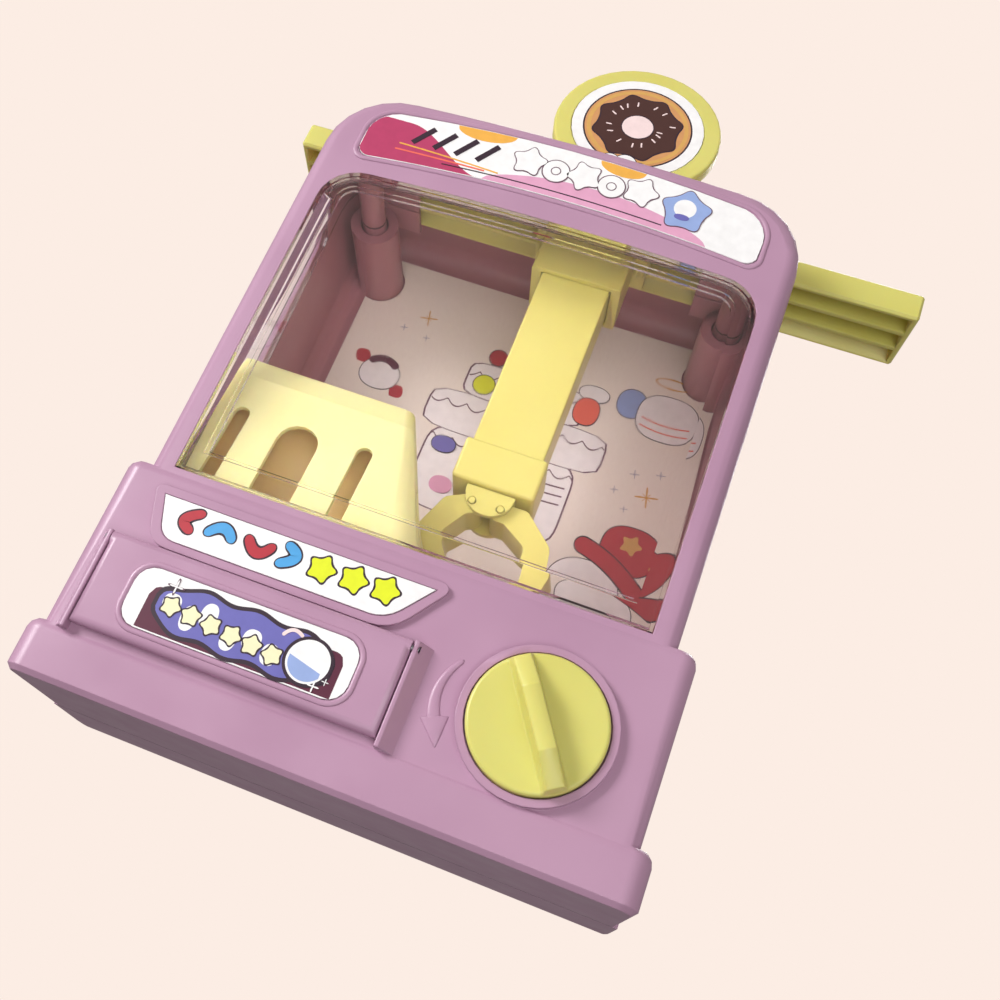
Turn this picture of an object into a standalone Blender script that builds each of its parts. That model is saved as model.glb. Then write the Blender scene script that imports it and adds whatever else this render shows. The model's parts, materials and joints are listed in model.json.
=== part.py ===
"""Hand-operated toy claw machine, built as its separate moulded pieces.

Axes: X to the right, Y towards the back, Z up. The origin lies on the underside, 40 mm
behind the front of the plinth. All sizes are metres.
"""

import math

import bmesh
import bpy
from mathutils import Matrix, Vector

# ---- fits -------------------------------------------------------------------------------
GAP = 0.0003                 # between pieces that touch or sit in each other
SLIDE_GAP = 0.0004           # around pieces that slide or turn

# ---- casing -----------------------------------------------------------------------------
WALL = 0.0022
BODY_WIDTH = 0.158           # glazed upper body
BOX_STEP = 0.006             # control box beyond the upper body, each side
PLINTH_STEP = 0.004          # plinth beyond the control box, each side
BOX_WIDTH = BODY_WIDTH + 2 * BOX_STEP
PLINTH_WIDTH = BOX_WIDTH + 2 * PLINTH_STEP
PLINTH_HEIGHT = 0.016
BOX_TOP = 0.069
BODY_TOP = 0.2225
BODY_SHOULDER = 0.024        # radius of the header's shoulders
BODY_ARCH = 0.0015           # rise of the header's top over its shoulders
PLINTH_FRONT = -0.040
BOX_FRONT = PLINTH_FRONT + 0.0012
BODY_FRONT = PLINTH_FRONT + 0.0025
SEAM_Y = 0.004               # where the front and rear shells meet
BACK = 0.045
FRONT_ROUND = 0.005
REAR_ROUND = 0.010
HEEL_ROUND = 0.012           # along the bottom of the back
PLINTH_CORNER = 0.018        # back corners in plan
BOX_CORNER = 0.013
EDGE_ROUND = 0.0015

# ---- window, header and backdrop ----------------------------------------------------------
WINDOW_SIDE = 0.0077         # upper body's side to the window opening
WINDOW_SILL = 0.001          # window opening above the control box
WINDOW_HEAD = 0.0343         # window opening below the header's top
WINDOW_CORNER = 0.013
WINDOW_ARCH = 0.0017
GLAZING = 0.0012
WINDOW_FLANGE = 0.0027
WINDOW_RIM = 0.0065          # width of the low rim around the raised pane
WINDOW_STEP = 0.001
SIDE_WINDOW_BOTTOM = 0.015   # above the control box
SIDE_WINDOW_TOP = 0.0425     # below the header's top
SIDE_WINDOW_FRONT = 0.0065   # behind the front face
SIDE_WINDOW_LENGTH = 0.029
LABEL = 0.0006
LABEL_RECESS = 0.0006
HEADER_LABEL_HALF = 0.066
HEADER_LABEL_TOP = 0.0060    # below the header's top
HEADER_LABEL_HEIGHT = 0.0235
CARD = 0.0012
CARD_CLEAR = 0.0006          # card's edge to the start of the rear rounding
CARD_BOTTOM = 0.003          # above the deck

# ---- crane ------------------------------------------------------------------------------
BAR_LEFT = -0.096
BAR_RIGHT = 0.121
BAR_DEPTH = 0.028
BAR_HEIGHT = 0.0098
BAR_BELOW_TOP = 0.0035       # bar's top face below the header's top
BAR_WALL = 0.0018
BAR_RIB = 0.0016
GUIDE_REACH = 0.028          # guide ledges, in from the upper body's side
GUIDE_WALL = 0.0018
CLAW_X = 0.0132
ARM_Y = -0.002
ARM_WIDTH = 0.0235
ARM_DEPTH = 0.018
ARM_WALL = 0.0017
ARM_LUG = 0.0014
ARM_LUG_HEIGHT = 0.003
COLLAR_WALL = 0.0018
COLLAR_HEIGHT = 0.0214
COLLAR_LIP = 0.0025
COLLAR_FLANGE = 0.0045
COLLAR_SCREW_REACH = 0.0022  # screw centres in from the flange's ends
HEAD_WIDTH = 0.027
HEAD_DEPTH = 0.0214
HEAD_HEIGHT = 0.0145
HEAD_SOCKET = 0.004
HUB_RADIUS = 0.0078
HUB_CHEEK = 0.0018
HUB_PLATE = 0.0015
PRONG_DEPTH = 0.0134
PRONG_EYE = 0.0032
PRONG_DROP = 0.0285          # pivot to tip, straight down
PRONG_PIVOT_X = 0.0046
PRONG_CLEAR = 0.0033         # tip above the deck
PRONG_CLOSED = math.radians(26)
PIN_RADIUS = 0.0011

# ---- deck, fence and chute ----------------------------------------------------------------
DECK = 0.0022
DECK_RAIL = 0.0022
DECK_RAIL_REACH = 0.0045
FENCE_HEIGHT = 0.0485
FENCE_WALL = 0.0018
FENCE_RIGHT = -0.0165
FENCE_FLARE = 0.0210         # the right end's spread at the deck
FENCE_FRONT = 0.0065         # upper body's front to the foot of the fence
FENCE_DEPTH = 0.0155
FENCE_LEAN = 0.007
FENCE_BROW = 0.0025           # further lean of the band along the top
FENCE_BROW_START = 0.85      # share of the height where that band starts
FENCE_ARCH_TOP = 0.0297      # foot to the top of its three openings
FENCE_ARCH_FOOT = 0.004      # foot to the bottom of the openings and of the back wall
CHUTE_LEFT = 0.0150          # control box's side to the chute's inside
CHUTE_RIGHT = 0.022
CHUTE_WALL = 0.0015
CHUTE_BACK = 0.003
CHUTE_SLOPE = math.radians(10)
BALL_RADIUS = 0.0098

# ---- prize door ---------------------------------------------------------------------------
DOOR_LEFT = 0.009            # control box's side to the door
DOOR_RIGHT = 0.0135
DOOR_BOTTOM = 0.0012         # above the plinth
DOOR_TOP = 0.0448
DOOR_THICK = 0.0042
DOOR_FACE = 0.0016
DOOR_HINGE = 0.0021          # radius of the hinge roll
DOOR_FRAME = 0.0035          # door's overlap of its opening, at the top
DOOR_SIDE_FRAME = 0.002      # and at its ends
DOOR_PIN = 0.0009
PIN_SEAT = 0.0020            # depth of the pin in each cheek
CHEEK_LEFT = 0.0036          # width of the sloped cheeks beside the door, at the panel
CHEEK_RIGHT = 0.0050
CHEEK_CREST = 0.0012         # and at their tops

# ---- knob and dispenser ---------------------------------------------------------------------
KNOB_SIDE = 0.0342           # control box's side to the knob's axis
KNOB_Z = 0.0354
KNOB_RADIUS = 0.0186
KNOB_DISC = 0.0034
KNOB_GRIP_WIDTH = 0.0048
KNOB_GRIP_HEIGHT = 0.0072
KNOB_GRIP_TURN = math.radians(33)
KNOB_BOSS = 0.0046
KNOB_RIM = 0.0021
KNOB_RIM_HEIGHT = 0.0022
SHAFT_RADIUS = 0.0028
DRUM_RADIUS = 0.018
DRUM_LENGTH = 0.022
DRUM_SETBACK = 0.0046        # panel's inside to the drum
POCKET_RADIUS = 0.0103
POCKET_OFFSET = 0.0144
HOUSING_WALL = 0.0018

# ---- screws ---------------------------------------------------------------------------------
SCREW_RADIUS = 0.0012
SCREW_HEAD = 0.0026
SCREW_HEAD_HEIGHT = 0.0018
SCREW_LENGTH = 0.010
UPPER_BOSS_X = 0.014         # upper body's side to the upper bosses
UPPER_BOSS_Z = 0.0235        # header's top to the upper bosses
UPPER_BOSS = 0.0043
LOWER_BOSS_X = 0.0077        # control box's side to the lower bosses
LOWER_BOSS_Z = 0.0115        # control box's top to the lower bosses
LOWER_BOSS = 0.0031
SOCKET_WALL_UPPER = 0.0036
SOCKET_WALL_LOWER = 0.0016
BOSS_CLEAR = 0.0007
SOCKET_RIM = 0.003           # seam to the socket's mouth
SOCKET_FLOOR_Y = 0.020
SOCKET_FLOOR = 0.003

# ---- topper sign ----------------------------------------------------------------------------
SIGN_X = 0.0129
SIGN_Y = -0.0118
SIGN_LIFT = 0.0348           # header's top to the sign's centre
SIGN_RADIUS = 0.0296
SIGN_THICK = 0.005
SIGN_RECESS = 0.0008
SIGN_LABEL_RADIUS = 0.0233
SIGN_TAB = 0.020
SIGN_TAB_THICK = 0.0028
SIGN_LEAN = math.radians(5)  # backwards, about the header's top

# ---- derived places ---------------------------------------------------------------------------
DECK_TOP = BOX_TOP + 0.0004
DECK_BOTTOM = DECK_TOP - DECK
BAR_TOP = BODY_TOP - BAR_BELOW_TOP
BAR_BOTTOM = BAR_TOP - BAR_HEIGHT
COLLAR_TOP = BAR_BOTTOM - GAP
COLLAR_BOTTOM = COLLAR_TOP - COLLAR_HEIGHT
PIVOT_Z = DECK_TOP + PRONG_CLEAR + PRONG_DROP
HUB_TOP = PIVOT_Z + PRONG_EYE + GAP + HUB_PLATE
HEAD_BOTTOM = HUB_TOP + GAP
HEAD_TOP = HEAD_BOTTOM + HEAD_HEIGHT
ARM_BOTTOM = HEAD_TOP - HEAD_SOCKET + GAP
LUG_BOTTOM = COLLAR_BOTTOM + COLLAR_LIP + GAP
ARM_TOP = LUG_BOTTOM + ARM_LUG_HEIGHT
ARM_FRONT = ARM_Y - ARM_DEPTH / 2
COLLAR_BORE = ARM_WIDTH + 2 * (ARM_LUG + SLIDE_GAP)
COLLAR_WIDTH = COLLAR_BORE + 2 * COLLAR_WALL
COLLAR_DEPTH = ARM_DEPTH + 2 * (SLIDE_GAP + COLLAR_WALL)
KNOB_X = BOX_WIDTH / 2 - KNOB_SIDE
PANEL_INSIDE = BOX_FRONT + WALL
DRUM_FRONT = PANEL_INSIDE + DRUM_SETBACK
DRUM_BACK = DRUM_FRONT + DRUM_LENGTH
HINGE_Y = BOX_FRONT - GAP - DOOR_HINGE
HINGE_Z = DOOR_TOP - DOOR_HINGE
DOOR_X = (-BOX_WIDTH / 2 + DOOR_LEFT, DOOR_RIGHT)
FLOOR_Z = WALL + GAP
SCREWS = {
    "upper_left": (-(BODY_WIDTH / 2 - UPPER_BOSS_X), BODY_TOP - UPPER_BOSS_Z),
    "upper_right": (BODY_WIDTH / 2 - UPPER_BOSS_X, BODY_TOP - UPPER_BOSS_Z),
    "lower_left": (-(BOX_WIDTH / 2 - LOWER_BOSS_X), BOX_TOP - LOWER_BOSS_Z),
    "lower_right": (BOX_WIDTH / 2 - LOWER_BOSS_X, BOX_TOP - LOWER_BOSS_Z),
}

for old in list(bpy.data.objects):
    bpy.data.objects.remove(old, do_unlink=True)

PARTS = bpy.data.collections.new("toy_claw_machine")
CUTTERS = bpy.data.collections.new("cutters")
bpy.context.scene.collection.children.link(PARTS)
bpy.context.scene.collection.children.link(CUTTERS)


# ---- materials --------------------------------------------------------------------------------
def plastic(name, colour, roughness=0.4, alpha=1.0, metallic=0.0):
    """A Principled material with a linear base colour."""
    mat = bpy.data.materials.new(name)
    mat.use_nodes = True
    shader = mat.node_tree.nodes["Principled BSDF"]
    shader.inputs["Base Color"].default_value = (*colour, 1.0)
    shader.inputs["Roughness"].default_value = roughness
    shader.inputs["Metallic"].default_value = metallic
    shader.inputs["Alpha"].default_value = alpha
    mat.diffuse_color = (*colour, alpha)
    return mat


LILAC = plastic("lilac_abs", (0.60, 0.37, 0.52))
YELLOW = plastic("yellow_abs", (0.85, 0.76, 0.25))
CLEAR = plastic("clear_polystyrene", (0.9, 0.9, 0.95), 0.08, 0.25)
CARDBOARD = plastic("printed_card", (0.88, 0.82, 0.80), 0.6)
FILM = plastic("label_film", (0.9, 0.88, 0.9), 0.3)
BLUE = plastic("blue_polystyrene", (0.03, 0.06, 0.35), 0.3)
STEEL = plastic("zinc_plated_steel", (0.6, 0.6, 0.62), 0.35, 1.0, 1.0)


# ---- shapes -----------------------------------------------------------------------------------
def add_mesh(name, bm, collection=PARTS):
    """A new object that owns the bmesh's faces, at the world origin."""
    mesh = bpy.data.meshes.new(name)
    bm.normal_update()
    bm.to_mesh(mesh)
    bm.free()
    obj = bpy.data.objects.new(name, mesh)
    collection.objects.link(obj)
    return obj


def bevel(bm, pick, width, segments):
    """Round the edges that pick() chooses by the place of their two ends."""
    edges = [e for e in bm.edges if pick(e.verts[0].co, e.verts[1].co)]
    bmesh.ops.bevel(bm, geom=edges, offset=width, segments=segments, profile=0.5,
                    affect="EDGES", clamp_overlap=False)


def near(a, b):
    return abs(a - b) < 1e-6


def block(name, x, y, z, rounds=(), collection=PARTS):
    """A box between two corners; rounds lists (pick, width, segments) in order."""
    bm = bmesh.new()
    bmesh.ops.create_cube(bm, size=1.0)
    size = Vector((x[1] - x[0], y[1] - y[0], z[1] - z[0]))
    centre = Vector((x[0] + x[1], y[0] + y[1], z[0] + z[1])) / 2
    for v in bm.verts:
        v.co = Vector(c * s for c, s in zip(v.co, size)) + centre
    for pick, width, segments in rounds:
        bevel(bm, pick, width, segments)
    return add_mesh(name, bm, collection)


def cylinder(name, centre, radius, length, axis="Y", sides=24, collection=PARTS):
    bm = bmesh.new()
    bmesh.ops.create_cone(bm, cap_ends=True, segments=sides, radius1=radius,
                          radius2=radius, depth=length)
    turn = {"X": Matrix.Rotation(math.pi / 2, 4, "Y"), "Z": Matrix.Identity(4),
            "Y": Matrix.Rotation(math.pi / 2, 4, "X")}[axis]
    bm.transform(Matrix.Translation(centre) @ turn)
    return add_mesh(name, bm, collection)


def plate(name, points, y, rounds=(), collection=PARTS, axis="Y"):
    """A flat outline, filled and extruded from y[0] to y[1] along the axis.

    Its points are (x, z) along Y, (x, y) along Z and (y, z) along X.
    """
    curve = bpy.data.curves.new(name, "CURVE")
    curve.dimensions = "2D"
    curve.fill_mode = "BOTH"
    curve.extrude = (y[1] - y[0]) / 2
    spline = curve.splines.new("POLY")
    spline.points.add(len(points) - 1)
    for point, (px, pz) in zip(spline.points, points):
        point.co = (px, pz, 0.0, 1.0)
    spline.use_cyclic_u = True
    guide = bpy.data.objects.new(name, curve)
    guide.rotation_euler.x = 0.0 if axis == "Z" else math.pi / 2
    guide.rotation_euler.z = math.pi / 2 if axis == "X" else 0.0
    guide.location["XYZ".index(axis)] = (y[0] + y[1]) / 2
    CUTTERS.objects.link(guide)
    bpy.context.view_layer.update()
    depsgraph = bpy.context.evaluated_depsgraph_get()
    mesh = bpy.data.meshes.new_from_object(guide.evaluated_get(depsgraph))
    place = guide.matrix_world.copy()
    bpy.data.objects.remove(guide, do_unlink=True)
    bm = bmesh.new()
    bm.from_mesh(mesh)
    bpy.data.meshes.remove(mesh)
    bm.transform(place)
    bmesh.ops.remove_doubles(bm, verts=bm.verts, dist=1e-6)
    bmesh.ops.dissolve_limit(bm, angle_limit=0.01, verts=bm.verts, edges=bm.edges)
    bmesh.ops.recalc_face_normals(bm, faces=bm.faces)
    for pick, width, segments in rounds:
        bevel(bm, pick, width, segments)
    return add_mesh(name, bm, collection)


def turned(name, profile, centre, axis="Z", steps=24, collection=PARTS):
    """A (radius, height) profile, top to bottom on its outer side, spun about an axis."""
    bm = bmesh.new()
    verts = [bm.verts.new((r, 0.0, h)) for r, h in profile]
    for a, b in zip(verts, verts[1:]):
        bm.edges.new((a, b))
    obj = add_mesh(name, bm, collection)
    spin = obj.modifiers.new("spin", "SCREW")
    spin.steps = spin.render_steps = steps
    spin.use_merge_vertices = True
    spin.merge_threshold = 1e-5
    spin.use_smooth_shade = True
    obj.location = centre
    if axis == "Y":
        obj.rotation_euler.x = math.pi / 2
    return obj


def arc(centre, radius, start, end, steps):
    """Points of an arc between two angles in degrees."""
    angles = (math.radians(start + (end - start) * i / steps) for i in range(steps + 1))
    return [(centre[0] + radius * math.cos(a), centre[1] + radius * math.sin(a)) for a in angles]


def arched(half, bottom, top, shoulder, arch, steps=6, heel=0.0, sag=0.0):
    """Outline with quarter-round shoulders, a top that rises by arch in the middle and,
    if asked, rounded heels and a bottom edge that rises by sag."""
    crown = half - shoulder
    spring = top - arch
    flat = [(crown * (1 - 2 * i / 8), spring + arch * (1 - (1 - 2 * i / 8) ** 2))
            for i in range(1, 8)]
    points = arc((crown, spring - shoulder), shoulder, 0, 90, steps)
    points += flat
    points += arc((-crown, spring - shoulder), shoulder, 90, 180, steps)
    if heel == 0.0:
        return points + [(-half, bottom), (half, bottom)]
    foot = half - heel
    points += arc((-foot, bottom + heel), heel, 180, 270, 4)
    points += [(foot * (2 * i / 8 - 1), bottom + sag * (1 - (2 * i / 8 - 1) ** 2))
               for i in range(1, 8)]
    return points + arc((foot, bottom + heel), heel, 270, 360, 4)[:-1]


def filleted(corners, steps=4):
    """A polygon of (x, z, radius) corners with each corner rounded by its radius."""
    points = []
    for i, (x, z, radius) in enumerate(corners):
        here = Vector((x, z))
        back = (Vector(corners[i - 1][:2]) - here).normalized()
        ahead = (Vector(corners[(i + 1) % len(corners)][:2]) - here).normalized()
        if radius == 0.0:
            points.append((x, z))
            continue
        half = back.angle(ahead) / 2
        middle = here + (back + ahead).normalized() * radius / math.sin(half)
        start = here + back * radius / math.tan(half) - middle
        finish = here + ahead * radius / math.tan(half) - middle
        sweep = start.angle_signed(finish)
        for k in range(steps + 1):
            spoke = Matrix.Rotation(-sweep * k / steps, 2) @ start
            points.append(tuple(middle + spoke))
    return points


def boolean(target, tool, operation):
    """Cut the tool from the target, or join it; the tool goes to the cutters."""
    for collection in tool.users_collection:
        collection.objects.unlink(tool)
    CUTTERS.objects.link(tool)
    tool.hide_render = True
    tool.display_type = "WIRE"
    step = target.modifiers.new(operation.lower(), "BOOLEAN")
    step.operation = operation
    step.solver = "EXACT"
    step.object = tool


def cut(target, *tools):
    for tool in tools:
        boolean(target, tool, "DIFFERENCE")


def join(target, *tools):
    for tool in tools:
        boolean(target, tool, "UNION")


def finish(obj, mat, smooth=35):
    obj.data.materials.clear()
    obj.data.materials.append(mat)
    if smooth and obj.data.polygons:
        obj.data.shade_smooth()
        obj.data.set_sharp_from_angle(angle=math.radians(smooth))
    return obj


def move_origin(obj, point):
    """Put the object's origin on its joint's axis and leave the shape where it is."""
    obj.data.transform(Matrix.Translation(-Vector(point)))
    obj.location = point


# ---- casing -----------------------------------------------------------------------------------
def window_outline(inset):
    """The window opening, made smaller all round by inset."""
    return arched(BODY_WIDTH / 2 - WINDOW_SIDE - inset, BOX_TOP + WINDOW_SILL + inset,
                  BODY_TOP - WINDOW_HEAD - inset, WINDOW_CORNER - inset, WINDOW_ARCH)


def header_outline(inset):
    top = BODY_TOP - HEADER_LABEL_TOP - inset
    bottom = BODY_TOP - HEADER_LABEL_TOP - HEADER_LABEL_HEIGHT + inset
    return arched(HEADER_LABEL_HALF - inset, bottom, top, 0.011 - inset, 0.0035,
                  heel=0.004 - inset, sag=0.004)


def control_outline(inset):
    """Boat-shaped label: straight top, raked ends and rounded lower corners."""
    return filleted([(-0.0684 + inset * 1.4, 0.0603 - inset, 0.0),
                     (-0.0640 + inset, 0.0480 + inset, 0.0055 - inset),
                     (0.0035 - inset, 0.0480 + inset, 0.0100 - inset),
                     (0.0133 - inset * 1.9, 0.0603 - inset, 0.0)])


def upper_block(name, inset, y, rounds, collection):
    return plate(name, arched(BODY_WIDTH / 2 - inset, BOX_TOP - 0.009, BODY_TOP - inset,
                              BODY_SHOULDER - inset, BODY_ARCH), y, rounds, collection)


def rim_at(y, floor=None):
    """Picks the edges of the face at y, without those on the floor plane."""
    def pick(a, b):
        on_floor = floor is not None and near(a.z, floor) and near(b.z, floor)
        return near(a.y, y) and near(b.y, y) and not on_floor
    return pick


def upright_at(y):
    return lambda a, b: near(a.y, y) and near(b.y, y) and near(a.x, b.x)


def side_plinth(width):
    """Bottom edges along both sides."""
    return lambda a, b: near(a.z, 0.0) and near(b.z, 0.0) and near(abs(a.x), width / 2) \
        and near(a.x, b.x)


def mirrored(make, name, *args, **kwargs):
    """The same block on both sides: make(name, side, ...) for side -1 and +1."""
    return [make(f"{name}_{tag}", side, *args, **kwargs)
            for tag, side in (("left", -1), ("right", 1))]


def span(side, inner, outer):
    """X range between two distances from the middle plane, on one side."""
    return (-outer, -inner) if side < 0 else (inner, outer)


def side_block(name, side, inner, outer, y, z, rounds=()):
    return block(name, span(side, inner, outer), y, z, rounds, CUTTERS)


def bar_slots(y):
    """Cutters for the slots and the flat tops of the guide ledges."""
    return mirrored(side_block, "bar_slot", BODY_WIDTH / 2 - GUIDE_REACH - 0.001,
                    BODY_WIDTH / 2 + 0.01, y, (BAR_BOTTOM - GAP, BAR_TOP + SLIDE_GAP))


def guide_ledges(y):
    inner = BODY_WIDTH / 2 - GUIDE_REACH
    return mirrored(side_block, "guide", inner, BODY_WIDTH / 2 - 0.0037, y,
                    (BAR_BOTTOM - GAP - GUIDE_WALL, BAR_BOTTOM - GAP + 0.0006))


def deck_rails(y):
    inner = BODY_WIDTH / 2 - WALL - DECK_RAIL_REACH
    return mirrored(side_block, "deck_rail", inner, BOX_WIDTH / 2 - 0.001, y,
                    (DECK_BOTTOM - GAP - DECK_RAIL, DECK_BOTTOM - GAP))


def make_front_shell():
    past = SEAM_Y + 0.002
    shell = block("front_shell", (-PLINTH_WIDTH / 2, PLINTH_WIDTH / 2), (PLINTH_FRONT, past),
                  (0.0, PLINTH_HEIGHT),
                  [(upright_at(PLINTH_FRONT), 0.006, 4),
                   (lambda a, b: near(a.z, PLINTH_HEIGHT) and near(b.z, PLINTH_HEIGHT)
                    and min(a.y, b.y) < SEAM_Y, 0.0035, 3),
                   (lambda a, b: near(a.z, 0.0) and near(b.z, 0.0)
                    and min(a.y, b.y) < SEAM_Y, EDGE_ROUND, 1)])
    box = block("box_front", (-BOX_WIDTH / 2, BOX_WIDTH / 2), (BOX_FRONT, past + 0.001),
                (PLINTH_HEIGHT - 0.005, BOX_TOP),
                [(upright_at(BOX_FRONT), FRONT_ROUND, 3),
                 (lambda a, b: near(a.z, BOX_TOP) and near(b.z, BOX_TOP)
                  and min(a.y, b.y) < SEAM_Y, 0.0035, 3)])
    upper = upper_block("upper_front", 0.0, (BODY_FRONT, past + 0.002),
                        [(rim_at(BODY_FRONT, BOX_TOP - 0.009), FRONT_ROUND, 3)], CUTTERS)
    join(shell, box, upper)
    deep = past + 0.01
    cut(shell,
        block("plinth_hollow", (-PLINTH_WIDTH / 2 + WALL, PLINTH_WIDTH / 2 - WALL),
              (PLINTH_FRONT + WALL, deep), (WALL, PLINTH_HEIGHT - WALL),
              [(upright_at(PLINTH_FRONT + WALL), 0.006 - WALL, 3)]),
        block("box_hollow", (-BOX_WIDTH / 2 + WALL, BOX_WIDTH / 2 - WALL),
              (PANEL_INSIDE, deep + 0.001), (PLINTH_HEIGHT - 0.006, BOX_TOP - WALL),
              [(upright_at(PANEL_INSIDE), FRONT_ROUND - WALL, 3)]),
        upper_block("upper_hollow", WALL, (BODY_FRONT + WALL, deep + 0.002),
                    [(rim_at(BODY_FRONT + WALL, BOX_TOP - 0.009), FRONT_ROUND - WALL, 2)],
                    CUTTERS),
        block("seam_trim", (-0.2, 0.2), (SEAM_Y - GAP / 2, deep + 0.02), (-0.01, 0.3)))
    ahead = BODY_FRONT - 0.01
    cut(shell,
        plate("window_opening", window_outline(0.0), (ahead, BODY_FRONT + 0.006)),
        plate("header_recess", header_outline(-GAP), (ahead, BODY_FRONT + LABEL_RECESS)))
    window_y = (BODY_FRONT + SIDE_WINDOW_FRONT,
                BODY_FRONT + SIDE_WINDOW_FRONT + SIDE_WINDOW_LENGTH)
    cut(shell, *mirrored(side_block, "side_opening", BODY_WIDTH / 2 - 0.01,
                         BODY_WIDTH / 2 + 0.01, window_y,
                         (BOX_TOP + SIDE_WINDOW_BOTTOM, BODY_TOP - SIDE_WINDOW_TOP),
                         [(lambda a, b: near(a.y, b.y) and near(a.z, b.z), 0.005, 3)]))
    in_seam = SEAM_Y - GAP / 2
    join(shell, *guide_ledges((BODY_FRONT + FRONT_ROUND, in_seam - 0.0002)),
         *deck_rails((BOX_FRONT + FRONT_ROUND, in_seam - 0.0002)))
    cut(shell, *bar_slots((-BAR_DEPTH / 2 - SLIDE_GAP, SEAM_Y + 0.01)))
    add_front_bosses(shell)
    add_door_frame(shell)
    add_knob_rim(shell)
    slot = SIGN_TAB / 2 + GAP
    cut(shell, block("sign_slot", (SIGN_X - slot, SIGN_X + slot),
                     (SIGN_Y - SIGN_TAB_THICK / 2 - GAP, SIGN_Y + SIGN_TAB_THICK / 2 + GAP),
                     (BODY_TOP - 0.006, BODY_TOP + 0.006)))
    return finish(shell, LILAC)


def boss_sizes(place):
    """Boss radius and socket wall for a screw's place."""
    if place.startswith("upper"):
        return UPPER_BOSS, SOCKET_WALL_UPPER
    return LOWER_BOSS, SOCKET_WALL_LOWER


def between(name, x, z, radius, y, sides=20):
    """A cylinder along Y between y[0] and y[1], as a tool."""
    return cylinder(name, (x, (y[0] + y[1]) / 2, z), radius, y[1] - y[0], "Y", sides, CUTTERS)


def add_front_bosses(shell):
    tip = SOCKET_FLOOR_Y - GAP
    for place, (x, z) in SCREWS.items():
        radius, _ = boss_sizes(place)
        root = (BODY_FRONT if place.startswith("upper") else BOX_FRONT) + WALL / 2
        join(shell, between(f"boss_{place}", x, z, radius, (root, tip), 16))
        cut(shell, between(f"pilot_{place}", x, z, SCREW_RADIUS + GAP,
                           (tip - SCREW_LENGTH, tip + 0.002), 10))


def cheek(tag, side, inner, width):
    """Sloped cheek beside the door, from the plinth to the door's top."""
    face = BOX_FRONT - DOOR_THICK + 0.0004
    foot = BOX_FRONT + 0.001
    plan = filleted([(inner, foot, 0.0), (inner, face, 0.0004),
                     (inner + side * CHEEK_CREST, face, 0.0008),
                     (inner + side * width, BOX_FRONT, 0.0),
                     (inner + side * width, foot, 0.0)])
    return plate(f"cheek_{tag}", plan, (PLINTH_HEIGHT - 0.001, DOOR_TOP), (), CUTTERS, "Z")


def add_door_frame(shell):
    """The prize opening, the cheeks that hold the pin and the ledge over the door."""
    ledge = filleted([(-0.0725, 0.0632, 0.002), (-0.0668, DOOR_TOP + 0.0006, 0.007),
                      (0.0058, DOOR_TOP + 0.0006, 0.012), (0.0185, 0.0632, 0.002)])
    join(shell, plate("label_ledge", ledge, (BOX_FRONT - 0.0014, BOX_FRONT + 0.001)))
    cut(shell, plate("label_recess", control_outline(-GAP),
                     (BOX_FRONT - 0.01, BOX_FRONT - 0.0014 + LABEL_RECESS)))
    left, right = DOOR_X
    cut(shell, block("prize_opening", (left + DOOR_SIDE_FRAME, right - DOOR_SIDE_FRAME),
                     (BOX_FRONT - 0.01, PANEL_INSIDE + 0.004),
                     (PLINTH_HEIGHT + DOOR_BOTTOM + 0.002, DOOR_TOP - DOOR_FRAME)))
    join(shell, cheek("left", -1, left - GAP, CHEEK_LEFT),
         cheek("right", 1, right + GAP, CHEEK_RIGHT))
    cut(shell, cylinder("pin_seats", ((left + right) / 2, HINGE_Y, HINGE_Z), DOOR_PIN + GAP,
                        right - left + 2 * (GAP + PIN_SEAT), "X", 12, CUTTERS))


def add_knob_rim(shell):
    inner = KNOB_RADIUS + 0.0005
    ring_y = (BOX_FRONT - KNOB_RIM_HEIGHT, BOX_FRONT + 0.001)
    join(shell, between("knob_ring", KNOB_X, KNOB_Z, inner + KNOB_RIM, ring_y, 40))
    cut(shell, between("knob_well", KNOB_X, KNOB_Z, inner, (ring_y[0] - 0.01, BOX_FRONT), 40),
        between("knob_hole", KNOB_X, KNOB_Z, KNOB_BOSS + SLIDE_GAP,
                (BOX_FRONT - 0.002, PANEL_INSIDE + 0.002), 24))


def rear_tub(name, width, z, back, heel, corner, collection=PARTS):
    """A section of the rear shell with rounded back corners in plan and, if asked, a
    rounded heel along the bottom of the back."""
    front = SEAM_Y - 0.002
    half = width / 2
    tub = plate(name, filleted([(-half, front, 0.0), (half, front, 0.0), (half, back, corner),
                                (-half, back, corner)], 6), z, (), collection, "Z")
    if heel > 0.0:
        side = filleted([(front - 0.01, z[0], 0.0), (back, z[0], heel), (back, z[1] + 0.01, 0.0),
                         (front - 0.01, z[1] + 0.01, 0.0)], 5)
        boolean(tub, plate(f"{name}_heel", side, (-half - 0.01, half + 0.01), (), CUTTERS, "X"),
                "INTERSECT")
    return tub


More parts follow.
